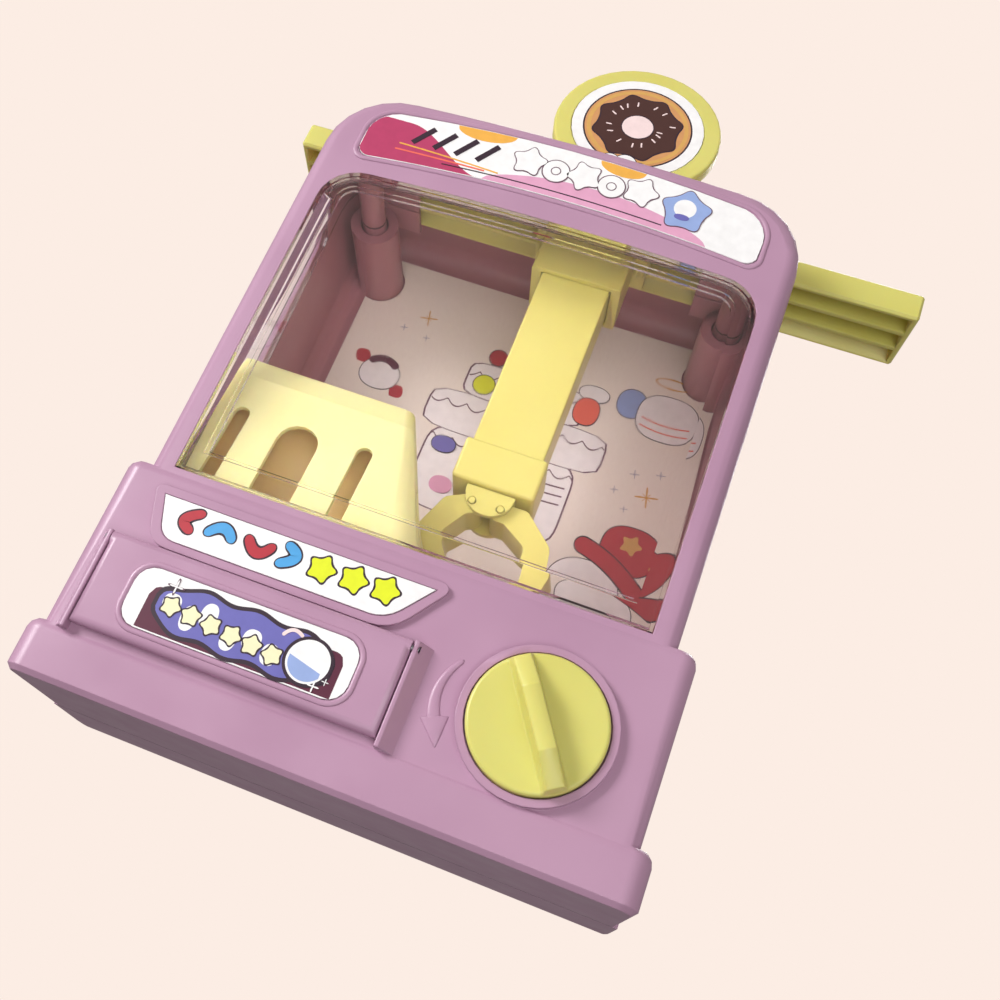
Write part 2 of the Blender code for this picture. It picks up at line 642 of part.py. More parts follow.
def make_rear_shell():
    shell = rear_tub("rear_shell", PLINTH_WIDTH, (0.0, PLINTH_HEIGHT), BACK, HEEL_ROUND,
                       PLINTH_CORNER)
    box = rear_tub("box_rear", BOX_WIDTH, (PLINTH_HEIGHT - 0.003, BOX_TOP), BACK, 0.0,
                     BOX_CORNER, CUTTERS)
    upper = upper_block("upper_rear", 0.0, (SEAM_Y - 0.003, BACK),
                        [(rim_at(BACK, BOX_TOP - 0.009), REAR_ROUND, 4)], CUTTERS)
    join(shell, box, upper)
    inside = BACK - WALL
    cut(shell,
        rear_tub("rear_plinth_hollow", PLINTH_WIDTH - 2 * WALL, (WALL, PLINTH_HEIGHT - WALL),
                   inside, HEEL_ROUND - WALL, PLINTH_CORNER - WALL),
        rear_tub("rear_box_hollow", BOX_WIDTH - 2 * WALL,
                   (PLINTH_HEIGHT - 0.005, BOX_TOP - WALL), inside, 0.0, BOX_CORNER - WALL),
        upper_block("rear_upper_hollow", WALL, (SEAM_Y - 0.02, inside),
                    [(rim_at(inside, BOX_TOP - 0.009), REAR_ROUND - WALL, 4)], CUTTERS),
        block("rear_seam_trim", (-0.2, 0.2), (-0.1, SEAM_Y + GAP / 2), (-0.01, 0.3)))
    past_seam = SEAM_Y + GAP / 2 + 0.0002
    join(shell, *guide_ledges((past_seam, BAR_DEPTH / 2 + 0.002)),
         *deck_rails((past_seam, BACK - BOX_CORNER)))
    cut(shell, *bar_slots((SEAM_Y - 0.01, BAR_DEPTH / 2 + SLIDE_GAP)))
    add_sockets(shell)
    return finish(shell, LILAC)


def add_sockets(shell):
    """Screw sockets that the front shell's bosses enter."""
    mouth = SEAM_Y + SOCKET_RIM
    for place, (x, z) in SCREWS.items():
        radius, wall = boss_sizes(place)
        bore = radius + BOSS_CLEAR
        socket = between(f"socket_{place}", x, z, bore + wall, (mouth, BACK - 0.0018), 24)
        if place.startswith("lower"):
            limit = rear_tub(f"limit_{place}", BOX_WIDTH - WALL, (0.0, BOX_TOP - 0.0005),
                               BACK - 0.0015, 0.0, BOX_CORNER - WALL / 2)
            boolean(socket, limit, "INTERSECT")
        join(shell, socket)
        cut(shell,
            between(f"bore_{place}", x, z, bore, (mouth - 0.005, SOCKET_FLOOR_Y), 20),
            between(f"shank_{place}", x, z, SCREW_RADIUS + GAP,
                    (SOCKET_FLOOR_Y - 0.002, BACK - 0.01), 10),
            between(f"well_{place}", x, z, SCREW_HEAD + GAP,
                    (SOCKET_FLOOR_Y + SOCKET_FLOOR, BACK + 0.01), 16))


# ---- glazing, labels and backdrop -----------------------------------------------------------------
def make_window():
    front = BODY_FRONT - GAP
    back = BODY_FRONT + WALL + GAP + GLAZING
    pane = plate("clear_window", window_outline(-WINDOW_FLANGE), (back - GLAZING, back))
    join(pane, plate("window_pan", window_outline(GAP), (front, back - GLAZING / 2)),
         plate("window_face", window_outline(WINDOW_RIM), (front - WINDOW_STEP, front + 0.0005)))
    cut(pane,
        plate("pan_hollow", window_outline(GAP + GLAZING), (front + GLAZING, back + 0.002)),
        plate("face_hollow", window_outline(WINDOW_RIM + GLAZING),
              (front - WINDOW_STEP + GLAZING, back + 0.003)))
    finish(pane, CLEAR)


def make_side_window(name, side):
    front = BODY_FRONT + SIDE_WINDOW_FRONT - 0.0014
    inner = BODY_WIDTH / 2 - WALL - GAP - GLAZING
    glass = block(name, span(side, inner, inner + GLAZING),
                  (front, front + SIDE_WINDOW_LENGTH + 0.0038),
                  (BOX_TOP + SIDE_WINDOW_BOTTOM - 0.003, BODY_TOP - SIDE_WINDOW_TOP + 0.003),
                  [(lambda a, b: near(a.y, b.y) and near(a.z, b.z), 0.004, 2)])
    finish(glass, CLEAR)


def make_labels():
    header = BODY_FRONT + LABEL_RECESS - GAP
    finish(plate("header_label", header_outline(0.0), (header - LABEL, header)), FILM)
    ledge = BOX_FRONT - 0.0014 + LABEL_RECESS - GAP
    finish(plate("control_label", control_outline(0.0), (ledge - LABEL, ledge)), FILM)


def make_backdrop():
    half = BODY_WIDTH / 2 - REAR_ROUND - CARD_CLEAR
    back = BACK - WALL - GAP
    card = block("backdrop_card", (-half, half), (back - CARD, back),
                 (DECK_TOP + CARD_BOTTOM, BODY_TOP - BODY_ARCH - REAR_ROUND - CARD_CLEAR))
    for place, (x, z) in SCREWS.items():
        if place.startswith("upper"):
            radius, wall = boss_sizes(place)
            reach = radius + BOSS_CLEAR + wall + 2 * GAP
            cut(card, between(f"card_notch_{place}", x, z, reach, (back - 0.01, back + 0.01), 24),
                block(f"card_corner_{place}", span(x, abs(x) - reach * 0.3, half + 0.01),
                      (back - 0.011, back + 0.011), (z - reach * 0.3, BODY_TOP)))
    finish(card, CARDBOARD)


def lean_sign(*pieces):
    """Tip pieces and tools of the sign backwards about the header's top."""
    for piece in pieces:
        move_origin(piece, (SIGN_X, SIGN_Y, BODY_TOP))
        piece.rotation_euler.x = -SIGN_LEAN


def make_sign():
    z = BODY_TOP + SIGN_LIFT
    y = (SIGN_Y - SIGN_THICK / 2, SIGN_Y + SIGN_THICK / 2)
    disc = plate("topper_sign", arc((SIGN_X, z), SIGN_RADIUS, 0, 360, 40)[:-1], y,
                 [(rim_at(y[0]), 0.0012, 2)])
    outline = filleted([(SIGN_X - 0.014, BODY_TOP + 2 * GAP, 0.0),
                        (SIGN_X + 0.014, BODY_TOP + 2 * GAP, 0.0),
                        (SIGN_X + 0.018, z - 0.02, 0.0), (SIGN_X - 0.018, z - 0.02, 0.0)])
    neck = plate("sign_neck", outline, (y[0] + 0.0006, y[1] - 0.0006))
    recess = between("sign_recess", SIGN_X, z, SIGN_LABEL_RADIUS + GAP,
                     (y[0] - 0.01, y[0] + SIGN_RECESS), 36)
    hollow = between("sign_back", SIGN_X, z, SIGN_RADIUS - 0.003, (y[1] - 0.002, y[1] + 0.01),
                     32)
    seat = (y[0] + SIGN_RECESS - GAP - LABEL, y[0] + SIGN_RECESS - GAP)
    label = cylinder("topper_label", (SIGN_X, sum(seat) / 2, z), SIGN_LABEL_RADIUS, LABEL,
                     "Y", 36)
    lean_sign(disc, neck, recess, hollow, label)
    tab = (SIGN_Y - SIGN_TAB_THICK / 2, SIGN_Y + SIGN_TAB_THICK / 2)
    join(disc, neck, block("sign_tab", (SIGN_X - SIGN_TAB / 2, SIGN_X + SIGN_TAB / 2), tab,
                           (BODY_TOP - WALL - 0.0004, BODY_TOP + 0.002), (), CUTTERS))
    cut(disc, recess, hollow)
    finish(disc, YELLOW)
    finish(label, FILM)


# ---- crane ------------------------------------------------------------------------------------
def make_slide_bar():
    half = BAR_DEPTH / 2
    bar = block("slide_bar", (BAR_LEFT, BAR_RIGHT), (-half, half), (BAR_BOTTOM, BAR_TOP),
                [(lambda a, b: True, 0.0008, 1)])
    groove = (BAR_DEPTH - 2 * BAR_WALL - 2 * BAR_RIB) / 3
    for i in range(3):
        start = -half + BAR_WALL + i * (groove + BAR_RIB)
        cut(bar, block(f"bar_groove_{i}", (BAR_LEFT + BAR_WALL, BAR_RIGHT - BAR_WALL),
                       (start, start + groove), (BAR_BOTTOM - 0.01, BAR_TOP - BAR_WALL)))
    for tag, x in collar_screw_places():
        join(bar, cylinder(f"bar_post_{tag}", (x, 0.0, BAR_TOP - 0.005), 0.0027, 0.0086,
                           "Z", 14, CUTTERS))
        cut(bar, block(f"post_trim_{tag}", (x - 0.004, x + 0.004), (-0.004, 0.004),
                       (BAR_BOTTOM - 0.01, BAR_BOTTOM)),
            cylinder(f"bar_pilot_{tag}", (x, 0.0, BAR_BOTTOM), SCREW_RADIUS + GAP, 0.0144,
                     "Z", 10, CUTTERS))
    finish(bar, YELLOW)
    move_origin(bar, (CLAW_X, 0.0, BAR_BOTTOM))


def collar_screw_places():
    reach = COLLAR_WIDTH / 2 + COLLAR_FLANGE - COLLAR_SCREW_REACH
    return (("left", CLAW_X - reach), ("right", CLAW_X + reach))


def centred(x, width, y, depth):
    return (x - width / 2, x + width / 2), (y - depth / 2, y + depth / 2)


def make_collar():
    x, y = centred(CLAW_X, COLLAR_WIDTH, ARM_Y, COLLAR_DEPTH)
    collar = block("arm_collar", x, y, (COLLAR_BOTTOM, COLLAR_TOP),
                   [(lambda a, b: near(a.x, b.x) and near(a.y, b.y), 0.001, 2)])
    flange_x, flange_y = centred(CLAW_X, COLLAR_WIDTH + 2 * COLLAR_FLANGE, ARM_Y,
                                 COLLAR_DEPTH + 0.0012)
    join(collar, block("collar_flange", flange_x, flange_y, (COLLAR_TOP - 0.0018, COLLAR_TOP)))
    bore_x, bore_y = centred(CLAW_X, COLLAR_BORE, ARM_Y, ARM_DEPTH + 2 * SLIDE_GAP)
    lip_x, _ = centred(CLAW_X, ARM_WIDTH + 2 * SLIDE_GAP, ARM_Y, ARM_DEPTH)
    cut(collar, block("collar_bore", bore_x, bore_y,
                      (COLLAR_BOTTOM + COLLAR_LIP, COLLAR_TOP + 0.01)),
        block("collar_mouth", lip_x, bore_y, (COLLAR_BOTTOM - 0.01, COLLAR_TOP - 0.005)))
    for tag, sx in collar_screw_places():
        cut(collar, cylinder(f"flange_hole_{tag}", (sx, 0.0, COLLAR_TOP), SCREW_RADIUS + GAP,
                             0.01, "Z", 10, CUTTERS))
        make_screw(f"collar_screw_{tag}", (sx, 0.0, COLLAR_TOP - 0.0018 - GAP), "up", 0.0075,
                   YELLOW)
    finish(collar, YELLOW)
    move_origin(collar, (CLAW_X, 0.0, COLLAR_TOP))


def make_screw(name, seat, direction, length, mat=STEEL):
    """A pan-head screw; seat is the middle of the face under its head."""
    head = SCREW_HEAD if direction == "forward" else 0.0022
    top = SCREW_HEAD_HEIGHT
    profile = [(0.0, top), (head * 0.7, top), (head, top * 0.55), (head, 0.0),
               (SCREW_RADIUS, 0.0), (SCREW_RADIUS, -length + 0.001), (0.0, -length)]
    screw = turned(name, profile, seat, steps=12)
    if direction == "up":
        screw.rotation_euler.x = math.pi
    else:
        screw.rotation_euler.x = -math.pi / 2
    cross = block(f"{name}_slot", (-0.0004, 0.0004), (-head, head), (top * 0.5, top + 0.001),
                  (), CUTTERS)
    cross.location = seat
    cross.rotation_euler = screw.rotation_euler
    cut(screw, cross)
    return finish(screw, mat, 0)


def make_arm():
    x, y = centred(CLAW_X, ARM_WIDTH, ARM_Y, ARM_DEPTH)
    arm = block("claw_arm", x, y, (ARM_BOTTOM, ARM_TOP),
                [(lambda a, b: near(a.x, b.x) and near(a.y, b.y), 0.001, 2)])
    lug_x, lug_y = centred(CLAW_X, ARM_WIDTH + 2 * ARM_LUG, ARM_Y, ARM_DEPTH - 0.006)
    join(arm, block("arm_lugs", lug_x, lug_y, (LUG_BOTTOM, ARM_TOP - 0.0002)))
    hole_x, hole_y = centred(CLAW_X, ARM_WIDTH - 2 * ARM_WALL, ARM_Y, ARM_DEPTH - 2 * ARM_WALL)
    cut(arm, block("arm_hollow", hole_x, hole_y, (ARM_BOTTOM - 0.01, ARM_TOP + 0.01)))
    finish(arm, YELLOW)
    move_origin(arm, (CLAW_X, ARM_Y, ARM_BOTTOM))


def make_claw_head():
    x, y = centred(CLAW_X, HEAD_WIDTH, ARM_Y, HEAD_DEPTH)
    head = block("claw_head", x, y, (HEAD_BOTTOM, HEAD_TOP), [(lambda a, b: True, 0.0012, 2)])
    socket_x, socket_y = centred(CLAW_X, ARM_WIDTH + 2 * GAP, ARM_Y, ARM_DEPTH + 2 * GAP)
    hollow_x, hollow_y = centred(CLAW_X, ARM_WIDTH - 0.003, ARM_Y, ARM_DEPTH - 0.003)
    cut(head, block("head_socket", socket_x, socket_y, (HEAD_TOP - HEAD_SOCKET, HEAD_TOP + 0.01)),
        block("head_hollow", hollow_x, hollow_y, (HEAD_BOTTOM + 0.0018, HEAD_TOP + 0.011)))
    hub_x, hub_y = centred(CLAW_X, 2 * HUB_RADIUS, ARM_Y, PRONG_DEPTH + 2 * GAP + 2 * HUB_CHEEK)
    hub = block("claw_hub", hub_x, hub_y, (HUB_TOP - HUB_PLATE, HUB_TOP))
    cheek = arc((CLAW_X, HUB_TOP - HUB_PLATE / 2), HUB_RADIUS, 180, 360, 14)
    for tag, start in (("front", hub_y[0]), ("rear", hub_y[1] - HUB_CHEEK)):
        join(hub, plate(f"cheek_{tag}", cheek, (start, start + HUB_CHEEK)))
    for side in (-1, 1):
        post = (CLAW_X + side * 0.005, ARM_Y, HEAD_BOTTOM + 0.00085)
        join(hub, cylinder("hub_post", post, 0.0015, 0.0043, "Z", 12, CUTTERS))
        cut(head, cylinder("post_hole", post, 0.0015 + GAP, 0.01, "Z", 12, CUTTERS))
        cut(hub, between("pin_hole", CLAW_X + side * PRONG_PIVOT_X, PIVOT_Z, PIN_RADIUS + GAP,
                         (hub_y[0] - 0.01, hub_y[1] + 0.01), 12))
    finish(head, YELLOW)
    finish(hub, YELLOW)
    for tag, side in (("left", -1), ("right", 1)):
        pivot = (CLAW_X + side * PRONG_PIVOT_X, ARM_Y, PIVOT_Z)
        pin = cylinder(f"prong_pin_{tag}", pivot, PIN_RADIUS, hub_y[1] - hub_y[0] + 2 * GAP,
                       "Y", 12)
        finish(pin, YELLOW)
        make_prong(tag, side, pivot)


def make_prong(tag, side, pivot):
    """One hooked prong. Its shape is drawn open; the left one is stored closed."""
    outline = filleted([(0.0, PRONG_EYE, 0.0), (0.0080, PRONG_EYE, 0.003),
                        (0.0182, -0.0060, 0.004), (0.0194, -0.0130, 0.006),
                        (0.0174, -0.0215, 0.006), (0.0105, -PRONG_DROP, 0.0008),
                        (0.0080, -PRONG_DROP + 0.0022, 0.0008), (0.0110, -0.0180, 0.005),
                        (0.0108, -0.0085, 0.003), (0.0022, -PRONG_EYE, 0.002),
                        (0.0, -PRONG_EYE, 0.0)], 3)
    half = PRONG_DEPTH / 2
    points = [(side * px, pz) for px, pz in outline]
    prong = plate(f"prong_{tag}", points, (-half, half))
    eye = cylinder(f"prong_eye_{tag}", (0.0, 0.0, 0.0), PRONG_EYE, PRONG_DEPTH - 0.0002, "Y",
                   20, CUTTERS)
    bore = cylinder(f"prong_bore_{tag}", (0.0, 0.0, 0.0), PIN_RADIUS + GAP, PRONG_DEPTH + 0.01,
                    "Y", 12, CUTTERS)
    turn = -PRONG_CLOSED if side < 0 else 0.0
    for piece in (prong, eye, bore):
        piece.location = pivot
        piece.rotation_euler.y = turn
    join(prong, eye)
    cut(prong, bore)
    finish(prong, YELLOW)


# ---- deck, fence, chute and capsule -----------------------------------------------------------------
def make_deck():
    half = BODY_WIDTH / 2 - WALL - GAP
    front = BODY_FRONT + WALL + 2 * GAP + GLAZING + 0.0003
    back = BACK - WALL - GAP
    deck = block("play_deck", (-half, half), (front, back), (DECK_BOTTOM, DECK_TOP),
                 [(upright_at(back), REAR_ROUND, 4)])
    fence = fence_place()
    cut(deck, block("prize_hole", (fence["left"] + 0.004, FENCE_RIGHT - 0.002),
                    (front + 0.0035, 0.0085), (DECK_BOTTOM - 0.01, DECK_TOP + 0.01),
                    [(lambda a, b: near(a.x, b.x) and near(a.y, b.y), 0.003, 2)]),
        cylinder("hopper_hole", (KNOB_X, (DRUM_FRONT + DRUM_BACK) / 2, DECK_TOP),
                 BALL_RADIUS + 0.0010, 0.02, "Z", 28, CUTTERS))
    finish(deck, LILAC)


def fence_place():
    """Foot and top of the fence, as distances in plan."""
    front = BODY_FRONT + FENCE_FRONT
    return {"left": -(BODY_WIDTH / 2 - WALL - GLAZING - 0.0022), "front": front,
            "back": front + FENCE_DEPTH, "foot": DECK_TOP + GAP,
            "top": DECK_TOP + GAP + FENCE_HEIGHT}


def fence_right(level):
    """The fence's right end, which spreads towards the deck."""
    return FENCE_RIGHT + FENCE_FLARE * (1.0 - level)


def fence_section(level):
    """Plan line of the fence at a level from 0 at the deck to 1 at the top: left return,
    front, rounded right corner and right end."""
    place = fence_place()
    brow = max(0.0, level - FENCE_BROW_START) / (1.0 - FENCE_BROW_START)
    front = place["front"] + FENCE_LEAN * level + FENCE_BROW * brow
    right = fence_right(level)
    corner = 0.003 + (FENCE_DEPTH - 0.009) * (1.0 - level)
    points = [(place["left"], place["back"]), (place["left"], front)]
    points += [(right - corner + corner * math.cos(a), front + corner + corner * math.sin(a))
               for a in (math.radians(-90 + 30 * i) for i in range(4))]
    return points + [(right, place["back"])]


def make_fence():
    """Front wall with its returns, three openings, a slit in the flared end, and a back
    wall that starts above the prize hole."""
    place = fence_place()
    levels = [-0.03, 0.0, 0.28, 0.56, FENCE_BROW_START, 1.0]
    bm = bmesh.new()
    rows = []
    for level in levels:
        z = place["foot"] + FENCE_HEIGHT * level
        rows.append([bm.verts.new((x, y, z)) for x, y in fence_section(level)])
    for low, high in zip(rows, rows[1:]):
        for i in range(len(low) - 1):
            bm.faces.new((low[i], low[i + 1], high[i + 1], high[i]))
    bmesh.ops.recalc_face_normals(bm, faces=bm.faces)
    if bm.faces[0].normal.x > 0:
        bmesh.ops.reverse_faces(bm, faces=bm.faces)
    fence = add_mesh("prize_fence", bm)
    wall = fence.modifiers.new("wall", "SOLIDIFY")
    wall.thickness = FENCE_WALL
    wall.offset = -1.0
    wall.use_even_offset = True
    cut(fence, block("fence_foot_trim", (-0.1, 0.1), (-0.1, 0.1),
                     (place["foot"] - 0.01, place["foot"]), (), CUTTERS))
    width = FENCE_RIGHT - place["left"]
    foot = place["foot"] + FENCE_ARCH_FOOT
    through = (place["front"] - 0.01, place["front"] + 0.0125)
    for tag, share, span_x in (("left", 0.158, 0.0050), ("middle", 0.511, 0.0130),
                               ("right", 0.868, 0.0050)):
        x = place["left"] + share * width
        crown = place["foot"] + FENCE_ARCH_TOP - span_x / 2
        outline = [(x + span_x / 2, foot)] + \
            arc((x, crown), span_x / 2, 0, 180, 8) + [(x - span_x / 2, foot)]
        cut(fence, plate(f"fence_arch_{tag}", outline, through))
    slit_y = place["back"] - 0.0055
    cut(fence, block("fence_slit", (FENCE_RIGHT - 0.012, FENCE_RIGHT + FENCE_FLARE + 0.004),
                     (slit_y - 0.0015, slit_y + 0.0015), (foot, place["foot"] + 0.024)))
    inset = 0.0004
    low = FENCE_ARCH_FOOT / FENCE_HEIGHT
    high = 1.0 - 0.0015 / FENCE_HEIGHT
    left = place["left"] + inset
    back_wall = [(left, foot), (fence_right(low) - inset, foot),
                 (fence_right(high) - inset, place["foot"] + FENCE_HEIGHT * high),
                 (left, place["foot"] + FENCE_HEIGHT * high)]
    join(fence, plate("fence_back", back_wall,
                      (place["back"] - FENCE_WALL, place["back"] - 0.0002)))
    finish(fence, YELLOW)


def make_chute():
    """Tray under the prize hole. Its floor falls towards the door and its front is open."""
    left = -BOX_WIDTH / 2 + CHUTE_LEFT
    front = PANEL_INSIDE + GAP
    back = CHUTE_BACK + 0.006
    low = PLINTH_HEIGHT + DOOR_BOTTOM + 0.0015
    high = low + (back - front) * math.tan(CHUTE_SLOPE)
    top = min(DECK_BOTTOM, BOX_TOP - WALL) - GAP
    chute = block("prize_chute", (left - CHUTE_WALL, CHUTE_RIGHT), (front, back + CHUTE_WALL),
                  (FLOOR_Z, top))
    ahead = front - 0.01
    space = [(ahead, low), (front, low), (back, high), (back, top + 0.01), (ahead, top + 0.01)]
    below = [(front + CHUTE_WALL, FLOOR_Z - 0.01), (back, FLOOR_Z - 0.01),
             (back, high - CHUTE_WALL), (front + CHUTE_WALL, low - CHUTE_WALL)]
    inside = (left, CHUTE_RIGHT - CHUTE_WALL)
    cut(chute, plate("chute_space", space, inside, (), CUTTERS, "X"),
        plate("chute_below", below, inside, (), CUTTERS, "X"))
    finish(chute, YELLOW)


def make_ball():
    """The prize ball that lies on the deck."""
    steps = 8
    place = (-BODY_WIDTH / 2 + 0.021, 0.0205, DECK_TOP + GAP + BALL_RADIUS)
    angles = [math.pi * i / steps for i in range(steps + 1)]
    profile = [(BALL_RADIUS * math.sin(a), BALL_RADIUS * math.cos(a)) for a in angles]
    profile[0], profile[-1] = (0.0, BALL_RADIUS), (0.0, -BALL_RADIUS)
    finish(turned("prize_ball", profile, place, steps=18), BLUE)


# ---- prize door ----------------------------------------------------------------------------------
def make_door():
    left, right = DOOR_X
    bottom = PLINTH_HEIGHT + DOOR_BOTTOM
    front = BOX_FRONT - GAP - DOOR_THICK
    door = block("prize_door", (left, right), (front, BOX_FRONT - GAP),
                 (bottom, HINGE_Z + 0.0005),
                 [(lambda a, b: near(a.y, front) and near(b.y, front)
                   and not (near(a.z, HINGE_Z + 0.0005) and near(b.z, HINGE_Z + 0.0005)),
                   0.002, 3)])
    join(door, cylinder("door_roll", ((left + right) / 2, HINGE_Y, HINGE_Z), DOOR_HINGE,
                        right - left - 0.0004, "X", 20, CUTTERS))
    cut(door, block("door_hollow", (left + 0.0022, right - 0.0022),
                    (front + DOOR_FACE + LABEL_RECESS, BOX_FRONT + 0.01),
                    (bottom + 0.002, HINGE_Z - DOOR_HINGE - 0.0008)),
        cylinder("door_bore", ((left + right) / 2, HINGE_Y, HINGE_Z), DOOR_PIN + GAP,
                 right - left + 0.01, "X", 12, CUTTERS))
    corner = 0.0055
    label_x = (left + 0.0125, right - 0.0114)
    label_z = (bottom + 0.0040, HINGE_Z - 0.0040)

    def rounded(grow):
        return filleted([(label_x[0] - grow, label_z[0] - grow, corner + grow),
                         (label_x[1] + grow, label_z[0] - grow, corner + grow),
                         (label_x[1] + grow, label_z[1] + grow, corner + grow),
                         (label_x[0] - grow, label_z[1] + grow, corner + grow)])

    cut(door, plate("door_recess", rounded(GAP), (front - 0.01, front + LABEL_RECESS)))
    finish(door, LILAC)
    move_origin(door, ((left + right) / 2, HINGE_Y, HINGE_Z))
    seat = front + LABEL_RECESS - GAP
    finish(plate("door_label", rounded(0.0), (seat - LABEL, seat)), FILM)
    finish(cylinder("door_pin", ((left + right) / 2, HINGE_Y, HINGE_Z), DOOR_PIN,
                    right - left + 2 * PIN_SEAT, "X", 12), STEEL)


# ---- knob and dispenser -----------------------------------------------------------------------------
def make_knob():
    back = BOX_FRONT - SLIDE_GAP
    front = back - KNOB_DISC
    r = KNOB_RADIUS
    boss_back = DRUM_FRONT - 0.0012
    profile = [(0.0, -front), (r - 0.0014, -front), (r, -front - 0.0012), (r, -back),
               (KNOB_BOSS, -back), (KNOB_BOSS, -boss_back), (0.0, -boss_back)]
    knob = turned("control_knob", profile, (KNOB_X, 0.0, KNOB_Z), "Y", 40)
    half = KNOB_GRIP_WIDTH / 2
    grip = block("knob_grip", (-half, half), (front - KNOB_GRIP_HEIGHT, front + 0.001),
                 (-r + 0.0004, r - 0.0004),
                 [(lambda a, b: near(a.y, front - KNOB_GRIP_HEIGHT)
                   and near(b.y, front - KNOB_GRIP_HEIGHT), 0.0016, 3)], CUTTERS)
    grip.location = (KNOB_X, 0.0, KNOB_Z)
    grip.rotation_euler.y = -KNOB_GRIP_TURN
    join(knob, grip)
    cut(knob, between("knob_bore", KNOB_X, KNOB_Z, SHAFT_RADIUS + GAP,
                      (front + 0.0015, boss_back + 0.01), 16))
    finish(knob, YELLOW)


def make_drum():
    bearing = DRUM_BACK + SLIDE_GAP + HOUSING_WALL
    tail = bearing + 0.0030
    nose = BOX_FRONT - SLIDE_GAP - KNOB_DISC + 0.0015 + GAP
    drum = between("dispenser_drum", KNOB_X, KNOB_Z, DRUM_RADIUS, (DRUM_FRONT, DRUM_BACK), 32)
    CUTTERS.objects.unlink(drum)
    PARTS.objects.link(drum)
    cut(drum, between("drum_pocket", KNOB_X, KNOB_Z + POCKET_OFFSET, POCKET_RADIUS,
                      (DRUM_FRONT + 0.001, DRUM_BACK - 0.001), 24))
    join(drum, between("drum_shaft", KNOB_X, KNOB_Z, SHAFT_RADIUS, (nose, tail), 16))
    finish(drum, YELLOW)
    move_origin(drum, (KNOB_X, 0.0, KNOB_Z))
    clip_y = (bearing + SLIDE_GAP, bearing + SLIDE_GAP + 0.0012)
    clip = between("shaft_clip", KNOB_X, KNOB_Z, 0.0056, clip_y, 20)
    CUTTERS.objects.unlink(clip)
    PARTS.objects.link(clip)
    cut(clip, between("clip_bore", KNOB_X, KNOB_Z, SHAFT_RADIUS + GAP,
                      (clip_y[0] - 0.01, clip_y[1] + 0.01), 16))
    finish(clip, STEEL)
    move_origin(clip, (KNOB_X, 0.0, KNOB_Z))


def make_housing():
    """Cradle round the drum's right side and bottom, with the shaft's rear bearing."""
    inner = DRUM_RADIUS + SLIDE_GAP + 0.0002
    outer = inner + HOUSING_WALL
    y = (DRUM_FRONT - 0.0004, DRUM_BACK + SLIDE_GAP + HOUSING_WALL)
    hub = (KNOB_X, KNOB_Z)
    ring = arc(hub, outer, -162, 54, 24) + list(reversed(arc(hub, inner, -162, 54, 24)))
    housing = plate("dispenser_housing", ring, y)
    foot = (KNOB_X - 0.012, KNOB_X + 0.012)
    join(housing,
         block("housing_foot", foot, (y[0] + 0.0006, y[1] - 0.0004),
               (FLOOR_Z, KNOB_Z - inner - HOUSING_WALL / 2), (), CUTTERS),
         block("housing_wall", (KNOB_X - outer + 0.001, KNOB_X + outer - 0.001),
               (y[1] - HOUSING_WALL, y[1] + 0.0002), (FLOOR_Z, KNOB_Z + 0.01), (), CUTTERS))
    cut(housing,
        block("foot_hollow", (foot[0] + HOUSING_WALL, foot[1] - HOUSING_WALL),
              (y[0] + HOUSING_WALL, y[1] - HOUSING_WALL), (FLOOR_Z - 0.01, KNOB_Z - outer - 0.001),
              (), CUTTERS),
        between("bearing_hole", KNOB_X, KNOB_Z, SHAFT_RADIUS + SLIDE_GAP,
                (y[1] - HOUSING_WALL - 0.002, y[1] + 0.01), 16))
    finish(housing, LILAC)


# ---- assembly ----------------------------------------------------------------------------------
make_front_shell()
make_rear_shell()
make_window()
make_side_window("side_window_left", -1)
make_side_window("side_window_right", 1)
make_labels()
make_backdrop()
make_sign()
make_slide_bar()
make_collar()
make_arm()
make_claw_head()
make_deck()
make_fence()
make_chute()
make_ball()
make_door()
make_knob()
make_drum()
make_housing()
for spot, (screw_x, screw_z) in SCREWS.items():
    make_screw(f"shell_screw_{spot}", (screw_x, SOCKET_FLOOR_Y + SOCKET_FLOOR + GAP, screw_z),
               "forward", SOCKET_FLOOR + GAP + SCREW_LENGTH - 0.001)
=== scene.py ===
"""Toy claw machine: finishes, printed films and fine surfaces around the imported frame.

Lengths in the sub-assembly classes are millimetres in the frame of the machine: X to the
right, Y towards the back, Z up. Meshes are metres.
"""

from __future__ import annotations

import json
import logging
import math
from collections.abc import Callable
from dataclasses import dataclass, field
from enum import Enum

import bmesh
import bpy
import numpy as np
from mathutils import Matrix, Vector


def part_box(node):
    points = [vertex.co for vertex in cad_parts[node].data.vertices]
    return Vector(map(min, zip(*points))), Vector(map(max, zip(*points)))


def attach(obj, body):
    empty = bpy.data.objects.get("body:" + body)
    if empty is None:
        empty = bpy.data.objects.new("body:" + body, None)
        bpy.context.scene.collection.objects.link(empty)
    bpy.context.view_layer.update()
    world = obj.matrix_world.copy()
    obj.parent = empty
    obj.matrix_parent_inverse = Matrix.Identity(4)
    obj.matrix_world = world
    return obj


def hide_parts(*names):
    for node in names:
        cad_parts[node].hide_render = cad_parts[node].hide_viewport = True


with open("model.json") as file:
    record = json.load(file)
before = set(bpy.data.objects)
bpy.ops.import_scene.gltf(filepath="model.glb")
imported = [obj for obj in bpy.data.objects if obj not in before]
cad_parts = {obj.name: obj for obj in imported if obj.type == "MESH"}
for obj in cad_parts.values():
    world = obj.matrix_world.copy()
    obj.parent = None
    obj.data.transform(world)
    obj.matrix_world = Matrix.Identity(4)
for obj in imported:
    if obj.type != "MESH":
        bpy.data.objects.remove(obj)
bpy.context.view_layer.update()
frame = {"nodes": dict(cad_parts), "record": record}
LOG = logging.getLogger("claw_machine")
MM = 0.001
